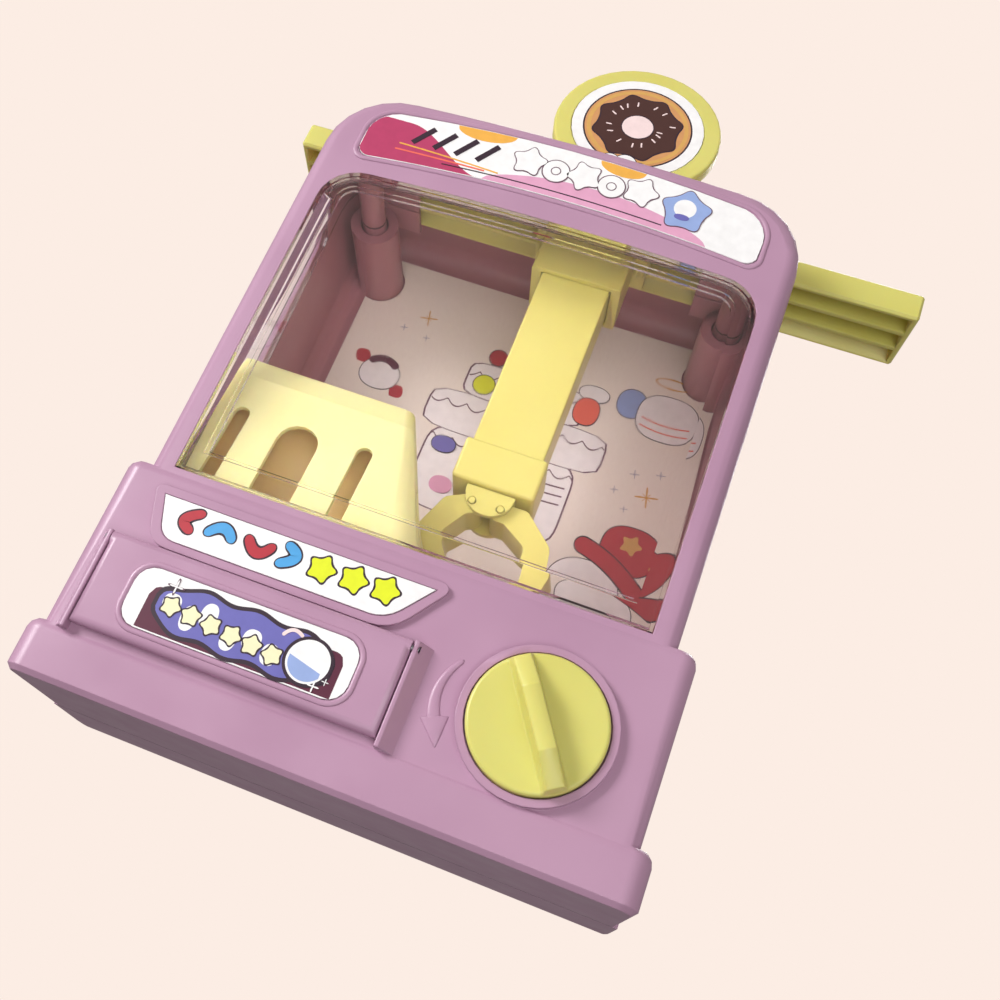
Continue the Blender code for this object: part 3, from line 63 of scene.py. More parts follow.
GOLDEN_ANGLE, GOLDEN_RATIO = 2.399963, 0.618034   # these scatter the sprinkles evenly
SAME_POINT = 1e-7               # metres: points of a new surface that are one
SAME_CORNER = 2e-6              # metres: corners of a CAD node that are one
FLAT_TURN = math.radians(0.5)   # faces that turn less than this are one flat face
Array = np.ndarray
Pair = tuple[float, float]
Triple = tuple[float, float, float]
Curve = Callable[[Array], Array]
Material = bpy.types.Material
Tree = bpy.types.NodeTree
Node = bpy.types.Node
Socket = bpy.types.NodeSocket
Thing = bpy.types.Object
PIECE_BODY = {node: body for body, nodes in frame["record"]["behaviour"]["bodies"].items()
              for node in nodes}


# ---- colour and node helpers ----
def linear(hex_colour: str) -> tuple[float, float, float, float]:
    """Turn an sRGB hex colour into linear RGBA.

    Args:
        hex_colour: six hex digits, with or without a leading hash.

    Returns:
        The linear red, green and blue, and an alpha of one.
    """
    digits = hex_colour.lstrip("#")
    srgb = [int(digits[i:i + 2], 16) / 255 for i in (0, 2, 4)]
    rgb = [c / 12.92 if c <= 0.04045 else ((c + 0.055) / 1.055) ** 2.4 for c in srgb]
    return (*rgb, 1.0)


def fill_sockets(tree: Tree, node: Node, inputs: dict) -> None:
    """Set a node's sockets.

    Args:
        tree: the node's tree.
        node: the node.
        inputs: socket name or index to a value, or to what to link from: an output
            socket, or a node for its first output.
    """
    for socket, value in inputs.items():
        target = node.inputs[socket]
        value = value.outputs[0] if isinstance(value, Node) else value
        if isinstance(value, Socket):
            tree.links.new(value, target)
        else:
            target.default_value = value


def add_node(tree: Tree, kind: str, inputs: dict | None = None, **settings: object) -> Node:
    """Add one shader node with its settings, values and links.

    Args:
        tree: the node tree that gets the node.
        kind: the node's Blender type name after ShaderNode.
        inputs: as for fill_sockets.
        **settings: attributes of the node itself.

    Returns:
        The new node.
    """
    node = tree.nodes.new(f"ShaderNode{kind}")
    for key, value in settings.items():
        setattr(node, key, value)
    fill_sockets(tree, node, inputs or {})
    return node


def near(tree: Tree, length: Socket, middle_mm: float, half_mm: float) -> Socket:
    """One where a length lies within half_mm of middle_mm, and zero elsewhere."""
    return add_node(tree, "Math",
                    {0: length, 1: middle_mm * MM, 2: half_mm * MM},
                    operation="COMPARE").outputs[0]


def both(tree: Tree, one: Socket | Node, other: Socket | Node) -> Socket:
    """The product of two masks."""
    return add_node(tree, "Math", {0: one, 1: other}, operation="MULTIPLY").outputs[0]


def blend(tree: Tree, share: Socket, one: object, other: object) -> Socket:
    """The colour that goes from one to the other as the share goes from zero to one."""
    return add_node(tree, "Mix", {0: share, 6: one, 7: other}, data_type="RGBA").outputs[2]


def noise(tree: Tree, place: Socket, size_mm: float, detail: float) -> Socket:
    """Noise from zero to one, with features about size_mm across."""
    return add_node(tree, "TexNoise",
                    {"Vector": place, "Scale": 1.0 / (size_mm * MM),
                     "Detail": detail}).outputs["Fac"]


def spread(tree: Tree, value: Socket, source: Pair, target: Pair) -> Socket:
    """The value with the source range carried to the target range, and clamped there."""
    return add_node(tree, "MapRange",
                    {"Value": value, "From Min": source[0], "From Max": source[1],
                     "To Min": target[0], "To Max": target[1]}).outputs["Result"]


def new_material(name: str) -> tuple[Material, Tree, Node, Socket]:
    """Start a node material.

    Args:
        name: the real material's name.

    Returns:
        The material, its tree, its Principled shader and the Object coordinates.
    """
    material = bpy.data.materials.new(name)
    material.use_nodes = True
    tree = material.node_tree
    shader = tree.nodes["Principled BSDF"]
    place = add_node(tree, "TexCoord").outputs["Object"]
    return material, tree, shader, place


# ---- finishes ----
@dataclass(frozen=True)
class MouldedPlastic:
    """Injection-moulded ABS: satin, with the tool's fine spark texture and flow marks."""

    name: str
    colour: str
    shade: str
    roughness: float = 0.36
    grain_mm: float = 0.55
    grain_depth_mm: float = 0.012
    edge_mm: float = 0.45
    glow: float = 0.0
    seam_mm: Pair | None = None
    # Painted shade: a box given as middle and half size in millimetres on X, Y and Z, and the
    # darker tone painted inside it.
    painted_shade_box_mm: tuple[Pair, ...] = ()
    painted_shade_tone: str = "#A87078"
    seam_tone: str = "#33222B"
    flank_limit: float = 0.6
    ior: float = 1.52
    glow_radius: Triple = (0.009, 0.005, 0.001)

    def material(self) -> Material:
        """Build the material: broad tone drift, grained gloss and softened edges."""
        material, tree, shader, place = new_material(self.name)
        # Flow marks: a drift of tone some 45 mm across, as the melt fills the tool.
        tone = add_node(tree, "ValToRGB", {"Fac": noise(tree, place, 45, 3.0)})
        ends = tone.color_ramp.elements
        ends[0].position, ends[1].position = 0.30, 0.62
        ends[0].color, ends[1].color = linear(self.shade), linear(self.colour)
        # Handling wear: patches 12 mm across that are a little smoother.
        gloss = spread(tree, noise(tree, place, 12, 4.0), (0.3, 0.7),
                       (self.roughness - 0.05, self.roughness + 0.07))
        soft_edge = add_node(tree, "Bevel", {"Radius": self.edge_mm * MM}, samples=4)
        bump = add_node(tree, "Bump",
                        {"Height": noise(tree, place, self.grain_mm, 2.0), "Strength": 0.35,
                         "Distance": self.grain_depth_mm * MM,
                         "Normal": soft_edge.outputs["Normal"]})
        spot = add_node(tree, "SeparateXYZ", {0: place}).outputs
        skin = tone.outputs["Color"]
        if self.painted_shade_box_mm:
            # Painted shade: inside a box around the hollow, the walls take a darker, warmer tone
            # that stands for the shade and the warm light bounced between them.
            x, y, z = (near(tree, spot[axis], middle, half)
                       for axis, (middle, half) in zip("XYZ", self.painted_shade_box_mm))
            skin = blend(tree, both(tree, both(tree, x, y), z), skin, linear(self.painted_shade_tone))
        if self.seam_mm:
            # The shells' parting line: a dark hairline at one depth all round, but not on
            # the walls' ends, which face along Y.
            facing = add_node(tree, "SeparateXYZ", {0: place.node.outputs["Normal"]})
            flank = add_node(tree, "Math",
                             {0: facing.outputs["Y"], 1: 0.0, 2: self.flank_limit},
                             operation="COMPARE")
            seam = both(tree, near(tree, spot["Y"], *self.seam_mm), flank)
            skin = blend(tree, seam, skin, linear(self.seam_tone))
        fill_sockets(tree, shader, {
            "Base Color": skin, "Roughness": gloss, "Normal": bump.outputs["Normal"],
            "IOR": self.ior, "Subsurface Weight": self.glow,
            "Subsurface Radius": self.glow_radius, "Subsurface Scale": 1.0})
        return material


@dataclass(frozen=True)
class ClearStyrene:
    """Clear polystyrene: polished by its mould, with bright lines where a rim bends light."""

    name: str = "Clear polystyrene"
    tint: str = "#F7F4F6"
    lamp_tint: str = "#E6E1E3"
    ior: float = 1.42
    roughness: float = 0.025

    def material(self) -> Material:
        """Build the material: clear to the eye, and to the lamps through a plain opening."""
        material, tree, shader, place = new_material(self.name)
        # Fine handling scuffs, 6 mm patches that dull the reflections a little.
        gloss = spread(tree, noise(tree, place, 6, 4.0), (0.45, 0.8),
                       (self.roughness, self.roughness + 0.06))
        fill_sockets(tree, shader, {"Base Color": linear(self.tint), "Roughness": gloss,
                                    "Transmission Weight": 1.0, "IOR": self.ior})
        open_air = add_node(tree, "BsdfTransparent", {"Color": linear(self.lamp_tint)})
        ray = add_node(tree, "LightPath")
        mix = add_node(tree, "MixShader",
                       {0: ray.outputs["Is Shadow Ray"], 1: shader, 2: open_air})
        tree.links.new(mix.outputs[0], tree.nodes["Material Output"].inputs["Surface"])
        return material


@dataclass(frozen=True)
class PrintedFilm:
    """Printed vinyl film: flat colour under a thin gloss laminate, with a fine screen."""

    name: str
    colour: str
    roughness: float = 0.44
    laminate: float = 0.06
    laminate_roughness: float = 0.2

    def material(self) -> Material:
        """Build the material: a faint halftone drift under a clear laminate."""
        material, tree, shader, place = new_material(self.name)
        # Ink density drifts by a few per cent over 3 mm.
        value = spread(tree, noise(tree, place, 3, 3.0), (0.25, 0.75), (0.94, 1.04))
        ink = add_node(tree, "HueSaturation", {"Value": value, "Color": linear(self.colour)})
        fill_sockets(tree, shader, {
            "Base Color": ink.outputs["Color"], "Roughness": self.roughness,
            "Coat Weight": self.laminate, "Coat Roughness": self.laminate_roughness})
        return material


@dataclass(frozen=True)
class CoatedCard:
    """Clay-coated cardboard: matt white with the fibres just showing."""

    name: str = "Clay-coated card"
    colour: str = "#F9F4E8"
    fibre: str = "#EEE6DA"
    roughness: float = 0.62

    def material(self) -> Material:
        """Build the material: stretched fibre noise in colour and height."""
        material, tree, shader, place = new_material(self.name)
        lay = add_node(tree, "Mapping", {"Vector": place, "Scale": (1.0, 1.0, 0.35)})
        fibres = noise(tree, lay.outputs["Vector"], 0.9, 5.0)
        bump = add_node(tree, "Bump", {"Height": fibres, "Strength": 0.2, "Distance": 0.03 * MM})
        fill_sockets(tree, shader, {
            "Base Color": blend(tree, fibres, linear(self.colour), linear(self.fibre)),
            "Normal": bump.outputs["Normal"], "Roughness": self.roughness})
        return material


@dataclass(frozen=True)
class ZincSteel:
    """Zinc-plated steel: bright, with a fine mottle in the plating."""

    name: str = "Zinc-plated steel"
    colour: str = "#BFC1C6"
    gloss: Pair = (0.22, 0.45)

    def material(self) -> Material:
        """Build the material: plating mottle in the gloss."""
        material, tree, shader, place = new_material(self.name)
        gloss = spread(tree, noise(tree, place, 1.2, 3.0), (0.0, 1.0), self.gloss)
        fill_sockets(tree, shader, {"Roughness": gloss, "Metallic": 1.0,
                                    "Base Color": linear(self.colour)})
        return material


Finish = MouldedPlastic | ClearStyrene | PrintedFilm | CoatedCard | ZincSteel


class Ink(Enum):
    """Printing inks of the films and the card."""

    WHITE = "#F8F7F6"
    OUTLINE = "#33202F"
    FINE_LINE = "#6B4C5C"
    CRIMSON = "#B93C66"
    CORAL = "#EE6E5B"
    ORANGE = "#F1B24C"
    PINK = "#E3A6C4"
    MAROON = "#5B2038"
    RED = "#BB2F3C"
    BLUE = "#4FA6E2"
    STAR = "#E6F022"
    VIOLET = "#6E6BB6"
    PERIWINKLE = "#98AEDF"
    CREAM = "#F4F0C4"
    ICING = "#4A2A24"
    DOUGH = "#D59A63"
    PALE_PINK = "#F6DEDC"
    GREY = "#A9A6B4"
    GOLD = "#D9A85C"

    def finish(self) -> PrintedFilm:
        """The printed film finish in this ink."""
        return PrintedFilm(f"Vinyl ink {self.name.lower()}", self.value)


class Finishes:
    """Builds each material once and hands it out by its finish."""

    def __init__(self) -> None:
        """Start with no material built."""
        self._built: dict[str, Material] = {}

    def of(self, finish: Finish) -> Material:
        """The finish's material, built on first use."""
        if finish.name not in self._built:
            self._built[finish.name] = finish.material()
        return self._built[finish.name]


# The shells' walls inside the cabin's box get a darker, warmer tone: painted shade.
LILAC = MouldedPlastic("Lilac moulded ABS", "#BC93AD", "#B48BA5", seam_mm=(4.0, 0.45),
                       painted_shade_box_mm=((0.0, 77.1), (4.5, 38.5), (145.5, 75.4)))
# A darker copy of the lilac plastic for the deck and the dispenser housing inside the cabin:
# painted shade.
LILAC_PAINTED_SHADE = MouldedPlastic("Lilac moulded ABS in painted shade", "#AF7F97", "#A4758D", 0.5)
YELLOW = MouldedPlastic("Yellow moulded ABS", "#DCD677", "#D6CE6B", 0.34, glow=0.16)
# The fence's yellow is a paler copy of the yellow plastic, painted light for a brighter-lit piece;
# inside the fence's box, an orange-tan tone is painted shade with warm bounced light.
YELLOW_PAINTED_LIGHT_AND_SHADE = MouldedPlastic("Pale yellow moulded ABS", "#EFEBA6", "#EAE59B", 0.34, glow=0.35,
                             painted_shade_box_mm=((-45.0, 26.6), (-14.6, 9.6), (88.0, 17.0)),
                             painted_shade_tone="#EBCB8C")
BALL_BLUE = MouldedPlastic("Blue moulded ABS", "#3656B4", "#2E4CA6", 0.2)
STYRENE = ClearStyrene()
WHITE_FILM = PrintedFilm("White vinyl film", Ink.WHITE.value)
CARD = CoatedCard()
ZINC = ZincSteel()
FINISHES = Finishes()


# ---- mesh helpers ----
def box_mm(node: str) -> tuple[Array, Array, Array]:
    """A node's lowest and highest corners at rest and its middle, in millimetres."""
    low, high = (np.array(corner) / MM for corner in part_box(node))
    return low, high, (low + high) / 2


def around(count: int) -> Array:
    """Even angles once round a circle, its end left out."""
    return np.linspace(0, 2 * np.pi, count, endpoint=False)


def arc(out: Array, radius: float) -> Array:
    """Height of a half circle at a distance out from its middle, and zero beyond it."""
    return np.sqrt(np.clip(radius ** 2 - out ** 2, 0, None))


def grid_faces(rows: int, cols: int, wrap: bool) -> Array:
    """Quads of a grid of points stored row by row.

    Args:
        rows: how many rows of points.
        cols: how many points in a row.
        wrap: whether the last column joins the first.

    Returns:
        An array of four point numbers per face.
    """
    row, col = np.meshgrid(np.arange(rows - 1), np.arange(cols if wrap else cols - 1),
                           indexing="ij")
    after = (col + 1) % cols
    return np.stack([row * cols + col, row * cols + after, (row + 1) * cols + after,
                     (row + 1) * cols + col], axis=-1).reshape(-1, 4)


def shaded_object(name: str, mesh: bpy.types.Mesh, material: Material, sharp_deg: float) -> Thing:
    """Shade a mesh smoothly, give it one material and put it in the scene.

    Args:
        name: the object's name.
        mesh: its mesh, in metres.
        material: the material of the whole mesh.
        sharp_deg: edges that turn more than this stay sharp.

    Returns:
        The object, at the origin.
    """
    mesh.shade_smooth()
    mesh.set_sharp_from_angle(angle=math.radians(sharp_deg))
    mesh.materials.clear()
    mesh.materials.append(material)
    obj = bpy.data.objects.new(name, mesh)
    bpy.context.scene.collection.objects.link(obj)
    return obj


def mesh_piece(name: str, patches: list[tuple[Array, Array]],
               material: Material, sharp_deg: float = 35.0) -> Thing:
    """One object from several patches, with doubles merged and faces pointing outwards.

    Args:
        name: the piece's name.
        patches: pairs of points in millimetres (n, 3) and their quads (m, 4).
        material: the material of the whole piece.
        sharp_deg: edges that turn more than this stay sharp.

    Returns:
        The object, at the origin.
    """
    starts = np.cumsum([0] + [len(points) for points, _ in patches])
    points = np.concatenate([p.reshape(-1, 3) for p, _ in patches]) * MM
    faces = np.concatenate([f + s for (_, f), s in zip(patches, starts)])
    mesh = bpy.data.meshes.new(name)
    mesh.from_pydata(points.tolist(), [], faces.tolist())
    bm = bmesh.new()
    bm.from_mesh(mesh)
    bmesh.ops.remove_doubles(bm, verts=bm.verts, dist=SAME_POINT)
    bmesh.ops.recalc_face_normals(bm, faces=bm.faces)
    bm.to_mesh(mesh)
    bm.free()
    return shaded_object(name, mesh, material, sharp_deg)


def smooth_step(x: Array) -> Array:
    """Zero below 0, one above 1 and 3x^2 - 2x^3 between."""
    t = np.clip(x, 0.0, 1.0)
    return t * t * (3 - 2 * t)


def merged_copy(node: str, finish: Finish, sharp_deg: float = 32.0) -> Thing:
    """A merged, smoothly shaded copy of a CAD node that stands for it.

    Args:
        node: the CAD node's name.
        finish: the finish of the copy.
        sharp_deg: edges that turn more than this stay sharp.

    Returns:
        The copy, riding on the node's body.
    """
    bm = bmesh.new()
    bm.from_mesh(frame["nodes"][node].data)
    bmesh.ops.remove_doubles(bm, verts=bm.verts, dist=SAME_CORNER)
    bmesh.ops.dissolve_limit(bm, angle_limit=FLAT_TURN, verts=bm.verts, edges=bm.edges)
    mesh = bpy.data.meshes.new(f"{node}_shell")
    bm.to_mesh(mesh)
    bm.free()
    mesh.polygons.foreach_set("material_index", np.zeros(len(mesh.polygons), np.int32))
    obj = shaded_object(f"{node}_shell", mesh, FINISHES.of(finish), sharp_deg)
    weighted = obj.modifiers.new("even_shading", "WEIGHTED_NORMAL")
    weighted.keep_sharp = True
    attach(obj, PIECE_BODY[node])
    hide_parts(node)
    return obj


def dress(node: str, finish: Finish) -> None:
    """Give a CAD node that keeps its shape the finish's material."""
    material = FINISHES.of(finish)
    for slot in frame["nodes"][node].material_slots:
        slot.material = material
    LOG.info("%s dressed in %s", node, finish.name)


# ---- printing ----
@dataclass
class PrintedFace:
    """Print on a flat face that looks along -Y: each shape is a thin slab of ink."""

    name: str = ""
    node: str = ""
    ink_mm: float = 0.035
    lean: float = 0.0
    film_mm: float = 0.6
    sunk_mm: float = 0.004
    _shapes: dict[Ink, list[tuple[Array, Array]]] = field(default_factory=dict)

    def face(self, z: Array) -> Array:
        """Depth of the film's face at height z: flat, or leaning back about its middle."""
        low, _, middle = box_mm(self.node)
        if not self.lean:
            return np.full_like(z, low[1])
        return middle[1] - self.film_mm / 2 + (z - middle[2]) * math.tan(self.lean)

    def strip(self, ink: Ink, one: Array, other: Array, layer: int, closed: bool = False) -> None:
        """Ink between two edge lines.

        The slab is a grid: along the lines, and around its four-cornered section from the
        first edge's top to the other edge's top, down and back.

        Args:
            ink: the ink.
            one: points (n, 2) of the first edge, as x and z.
            other: points (n, 2) of the other edge.
            layer: how many inks lie under this one.
            closed: whether the lines close on themselves.
        """
        rise = self.ink_mm * (layer + 1)
        if closed:
            one, other = np.vstack([one, one[:1]]), np.vstack([other, other[:1]])
        else:
            ends = (one[:1] + other[:1]) / 2, (one[-1:] + other[-1:]) / 2
            one, other = (np.vstack([ends[0], line, ends[1]]) for line in (one, other))
        section = ((one, rise), (other, rise), (other, self.sunk_mm), (one, self.sunk_mm))
        points = np.stack([np.column_stack([line[:, 0], self.face(line[:, 1]) - lift,
                                            line[:, 1]]) for line, lift in section], axis=1)
        if not closed:
            points[0], points[-1] = points[0].mean(0), points[-1].mean(0)
        self._shapes.setdefault(ink, []).append(
            (points.reshape(-1, 3), grid_faces(len(one), 4, True)))

    def area(self, ink: Ink, x: Pair, low: Curve, high: Curve, layer: int,
             count: int = 60) -> None:
        """Ink between the curves z = low(x) and z = high(x)."""
        across = np.linspace(x[0], x[1], count)
        self.strip(ink, np.column_stack([across, low(across)]),
                   np.column_stack([across, high(across)]), layer)

    def patch(self, ink: Ink, centre: Pair, radius: Curve, layer: int,
              grow: float = 0.0, turn: float = 0.0, count: int = 96) -> None:
        """Ink inside the polar curve r = radius(angle) + grow, turned about its centre."""
        angle = around(count)
        r = radius(angle) + grow
        rim = np.column_stack([centre[0] + r * np.cos(angle + turn),
                               centre[1] + r * np.sin(angle + turn)])
        self.strip(ink, np.broadcast_to(np.array(centre, float), rim.shape), rim, layer, True)

    def loop(self, ink: Ink, centre: Pair, radius: Curve, half: float,
             layer: int, turn: float = 0.0) -> None:
        """A line of ink along the polar curve r = radius(angle)."""
        angle = around(72)
        ray = np.column_stack([np.cos(angle + turn), np.sin(angle + turn)])
        r = radius(angle)[:, None]
        self.strip(ink, np.array(centre) + ray * (r - half), np.array(centre) + ray * (r + half),
                   layer, True)

    def stroke(self, ink: Ink, control: Array, half: float, layer: int,
               taper: float = 0.0, round_ends: bool = True) -> None:
        """Ink along the Bezier curve of three control points.

        The half width is half times 1 - taper * |2t - 1|, and it closes as a half circle at
        each end where the ends are round.
        """
        t = 0.5 - 0.5 * np.cos(np.linspace(0, np.pi, 33))
        a, b, c = (np.array(p, float) for p in control)
        k = t[:, None]
        path = a * (1 - k) ** 2 + 2 * b * k * (1 - k) + c * k ** 2
        slope = 2 * (1 - k) * (b - a) + 2 * k * (c - b)
        slope /= np.linalg.norm(slope, axis=1, keepdims=True)
        width = half * (1 - taper * np.abs(2 * t - 1))
        if round_ends:
            along = np.concatenate([[0], np.cumsum(np.linalg.norm(np.diff(path, axis=0), axis=1))])
            to_end = np.minimum(along, along[-1] - along)
            width = width * np.sqrt(np.clip(to_end / half * (2 - to_end / half), 0.0, 1.0)
                                    * (to_end < half) + (to_end >= half))
        side = np.column_stack([-slope[:, 1], slope[:, 0]]) * width[:, None]
        self.strip(ink, path - side, path + side, layer)

    def outlined(self, ink: Ink, centre: Pair, radius: Curve, layer: int,
                 line: float = 0.5, turn: float = 0.0, edge: Ink = Ink.OUTLINE) -> None:
        """A patch on a slightly larger patch in the edge's ink."""
        self.patch(edge, centre, radius, layer, line, turn)
        self.patch(ink, centre, radius, layer + 1, 0.0, turn)

    def press(self) -> None:
        """Make one piece for each ink and let it ride with the printed node."""
        for ink, shapes in self._shapes.items():
            piece = mesh_piece(f"{self.name}_{ink.name.lower()}", shapes,
                               FINISHES.of(ink.finish()), 30.0)
            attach(piece, PIECE_BODY[self.node])
        LOG.info("%s printed in %d inks", self.name, len(self._shapes))


def star(size: float, points: int = 5, depth: float = 0.20) -> Curve:
    """Polar curve of a puffy star: size * (1 + depth * cos(points * angle))."""
    return lambda angle: size * (1 + depth * np.cos(points * angle)
                                 + depth * 0.18 * np.cos(2 * points * angle))


def sparkle(size: float) -> Curve:
    """Polar curve of a four-pointed glint: size * (0.18 + 0.82 * |cos(2a)|^7)."""
    return lambda angle: size * (0.18 + 0.82 * np.abs(np.cos(2 * angle)) ** 7)


def glint(size: float) -> Curve:
    """Polar curve of an eight-pointed glint with long and short points in turn."""
    return lambda angle: size * (0.12 + 0.36 * np.abs(np.cos(4 * angle)) ** 9
                                 + 0.52 * np.abs(np.cos(2 * angle)) ** 11)


def disc(size: float) -> Curve:
    """Polar curve of a circle."""
    return lambda angle: np.full_like(angle, size)


def rounded_box(half_x: float, half_z: float, power: float = 5.0) -> Curve:
    """Polar curve of a superellipse, (|cos|/a)^n + (|sin|/b)^n all to the -1/n."""
    return lambda angle: ((np.abs(np.cos(angle)) / half_x) ** power
                          + (np.abs(np.sin(angle)) / half_z) ** power) ** (-1 / power)


@dataclass
class HeaderPrint(PrintedFace):
    """The header film: crimson end, pink band, slanted bars and puffy shapes."""

    name: str = "header_print"
    node: str = "header_label"
    half: float = 66.0
    margin: float = 0.2
    glyphs: tuple[float, ...] = (-11.6, -2.4, 6.8, 16.0, 25.4)

    def edge(self, x: Array, z: float, rise: float, corner: float, side: int) -> Array:
        """An arch of the rise over height z, with round ends; side is 1 above, -1 below."""
        flat = self.half - corner
        arch = rise * (1 - np.clip(np.abs(x) / flat, 0, 1) ** 2)
        out = np.clip(np.abs(x) - flat, 0.0, corner)
        return z + arch + side * (arc(out, corner) - self.margin)

    def top(self, x: Array) -> Array:
        """Upper edge of the film, with round shoulders."""
        return self.edge(x, 202.0, 3.5, 11.0, 1)

    def bottom(self, x: Array) -> Array:
        """Lower edge of the film, with small round heels."""
        return self.edge(x, 197.0, 4.0, 4.0, -1)

    def crimson_edge(self, x: Array) -> Array:
        """Wave that falls from the top left to the lower edge."""
        wave = 210.3 - 14.2 * smooth_step((x + 53.0) / 29.0)
        return np.maximum(np.minimum(wave, self.top(x)), self.bottom(x) + 0.01)

    def pink_edge(self, x: Array) -> Array:
        """Low hill over the right two thirds."""
        hill = np.sin(np.pi * np.clip((x + 24.0) / 74.0, 0, 1)) ** 0.55
        return self.bottom(x) + 0.01 + 7.3 * hill

    def build(self) -> None:
        """Print the film."""
        self.area(Ink.CRIMSON, (-65.8, -24.0), self.bottom, self.crimson_edge, 0)
        self.area(Ink.PINK, (-24.0, 50.0), self.bottom, self.pink_edge, 0)
        for middle, half, depth in ((-28.2, 9.9, 4.3), (17.5, 7.6, 4.0)):
            self.area(Ink.ORANGE, (middle - half, middle + half),
                      lambda x, m=middle, h=half, d=depth: self.top(x) - 0.02
                      - d * np.sqrt(np.clip(1 - ((x - m) / h) ** 2, 0, 1)), self.top, 0)
        self.stroke(Ink.CORAL, ((-54.6, 198.9), (-39.0, 199.6), (-24.0, 199.7)), 0.3, 1)
        self.stroke(Ink.ORANGE, ((-54.0, 201.4), (-37.0, 201.3), (-19.6, 200.2)), 0.26, 2)
        self.area(Ink.OUTLINE, (-38.0, 35.0), lambda x: self.bottom(x) + 1.95,
                  lambda x: self.bottom(x) + 2.35, 2)
        for i in range(4):
            foot = (-50.0 + 7.35 * i, 202.9)
            tip = (foot[0] + 5.3, 210.4)
            middle = ((foot[0] + tip[0]) / 2, (foot[1] + tip[1]) / 2)
            self.stroke(Ink.OUTLINE, (foot, middle, tip), 0.95, 3, round_ends=False)
        for i, x in enumerate(self.glyphs):
            shape = disc(4.2) if i % 2 else star(4.7, 5, 0.17)
            centre = (x, 207.6 + 0.5 * (-1) ** i)
            self.outlined(Ink.WHITE, centre, shape, 4, 0.38, 0.3 + 0.25 * i, Ink.FINE_LINE)
            if i % 2:
                self.loop(Ink.FINE_LINE, centre, disc(1.5), 0.16, 6)
        self.outlined(Ink.PERIWINKLE, (40.6, 205.6), star(6.9, 5, 0.13), 4, 0.34, 0.35,
                      Ink.FINE_LINE)
        self.patch(Ink.WHITE, (40.2, 206.4), disc(3.5), 6)
        self.patch(Ink.VIOLET, (40.0, 202.9), rounded_box(2.4, 1.1, 2.2), 7)
        self.press()


@dataclass
class ControlPrint(PrintedFace):
    """The boat-shaped film: four boomerang arrows and three stars."""

    name: str = "control_print"
    node: str = "control_label"
    stars: tuple[float, ...] = (-18.0, -8.6, 0.7)

    def boomerang(self, ink: Ink, tips: tuple, apex: Pair) -> None:
        """A fat bent arrow whose middle passes near the apex."""
        one, two = np.array(tips[0]), np.array(tips[1])
        control = 2 * np.array(apex) - (one + two) / 2
        self.stroke(Ink.OUTLINE, (one, control, two), 2.2, 0, 0.22)
        inner = [p + (np.array(apex) - p) * 0.06 for p in (one, two)]
        self.stroke(ink, (inner[0], control, inner[1]), 1.6, 1, 0.22)

    def build(self) -> None:
        """Print the film."""
        self.boomerang(Ink.RED, ((-54.6, 58.9), (-56.0, 51.9)), (-59.6, 55.1))
        self.boomerang(Ink.BLUE, ((-53.0, 52.7), (-44.2, 52.9)), (-48.3, 56.4))
        self.boomerang(Ink.RED, ((-41.2, 57.4), (-32.6, 57.2)), (-36.7, 53.2))
        self.boomerang(Ink.BLUE, ((-30.2, 58.8), (-31.0, 51.8)), (-26.2, 55.5))
        for i, x in enumerate(self.stars):
            self.outlined(Ink.STAR, (x, 55.0 + 0.2 * i), star(3.35, 5, 0.17), 0, 0.62, 1.35)
        self.press()


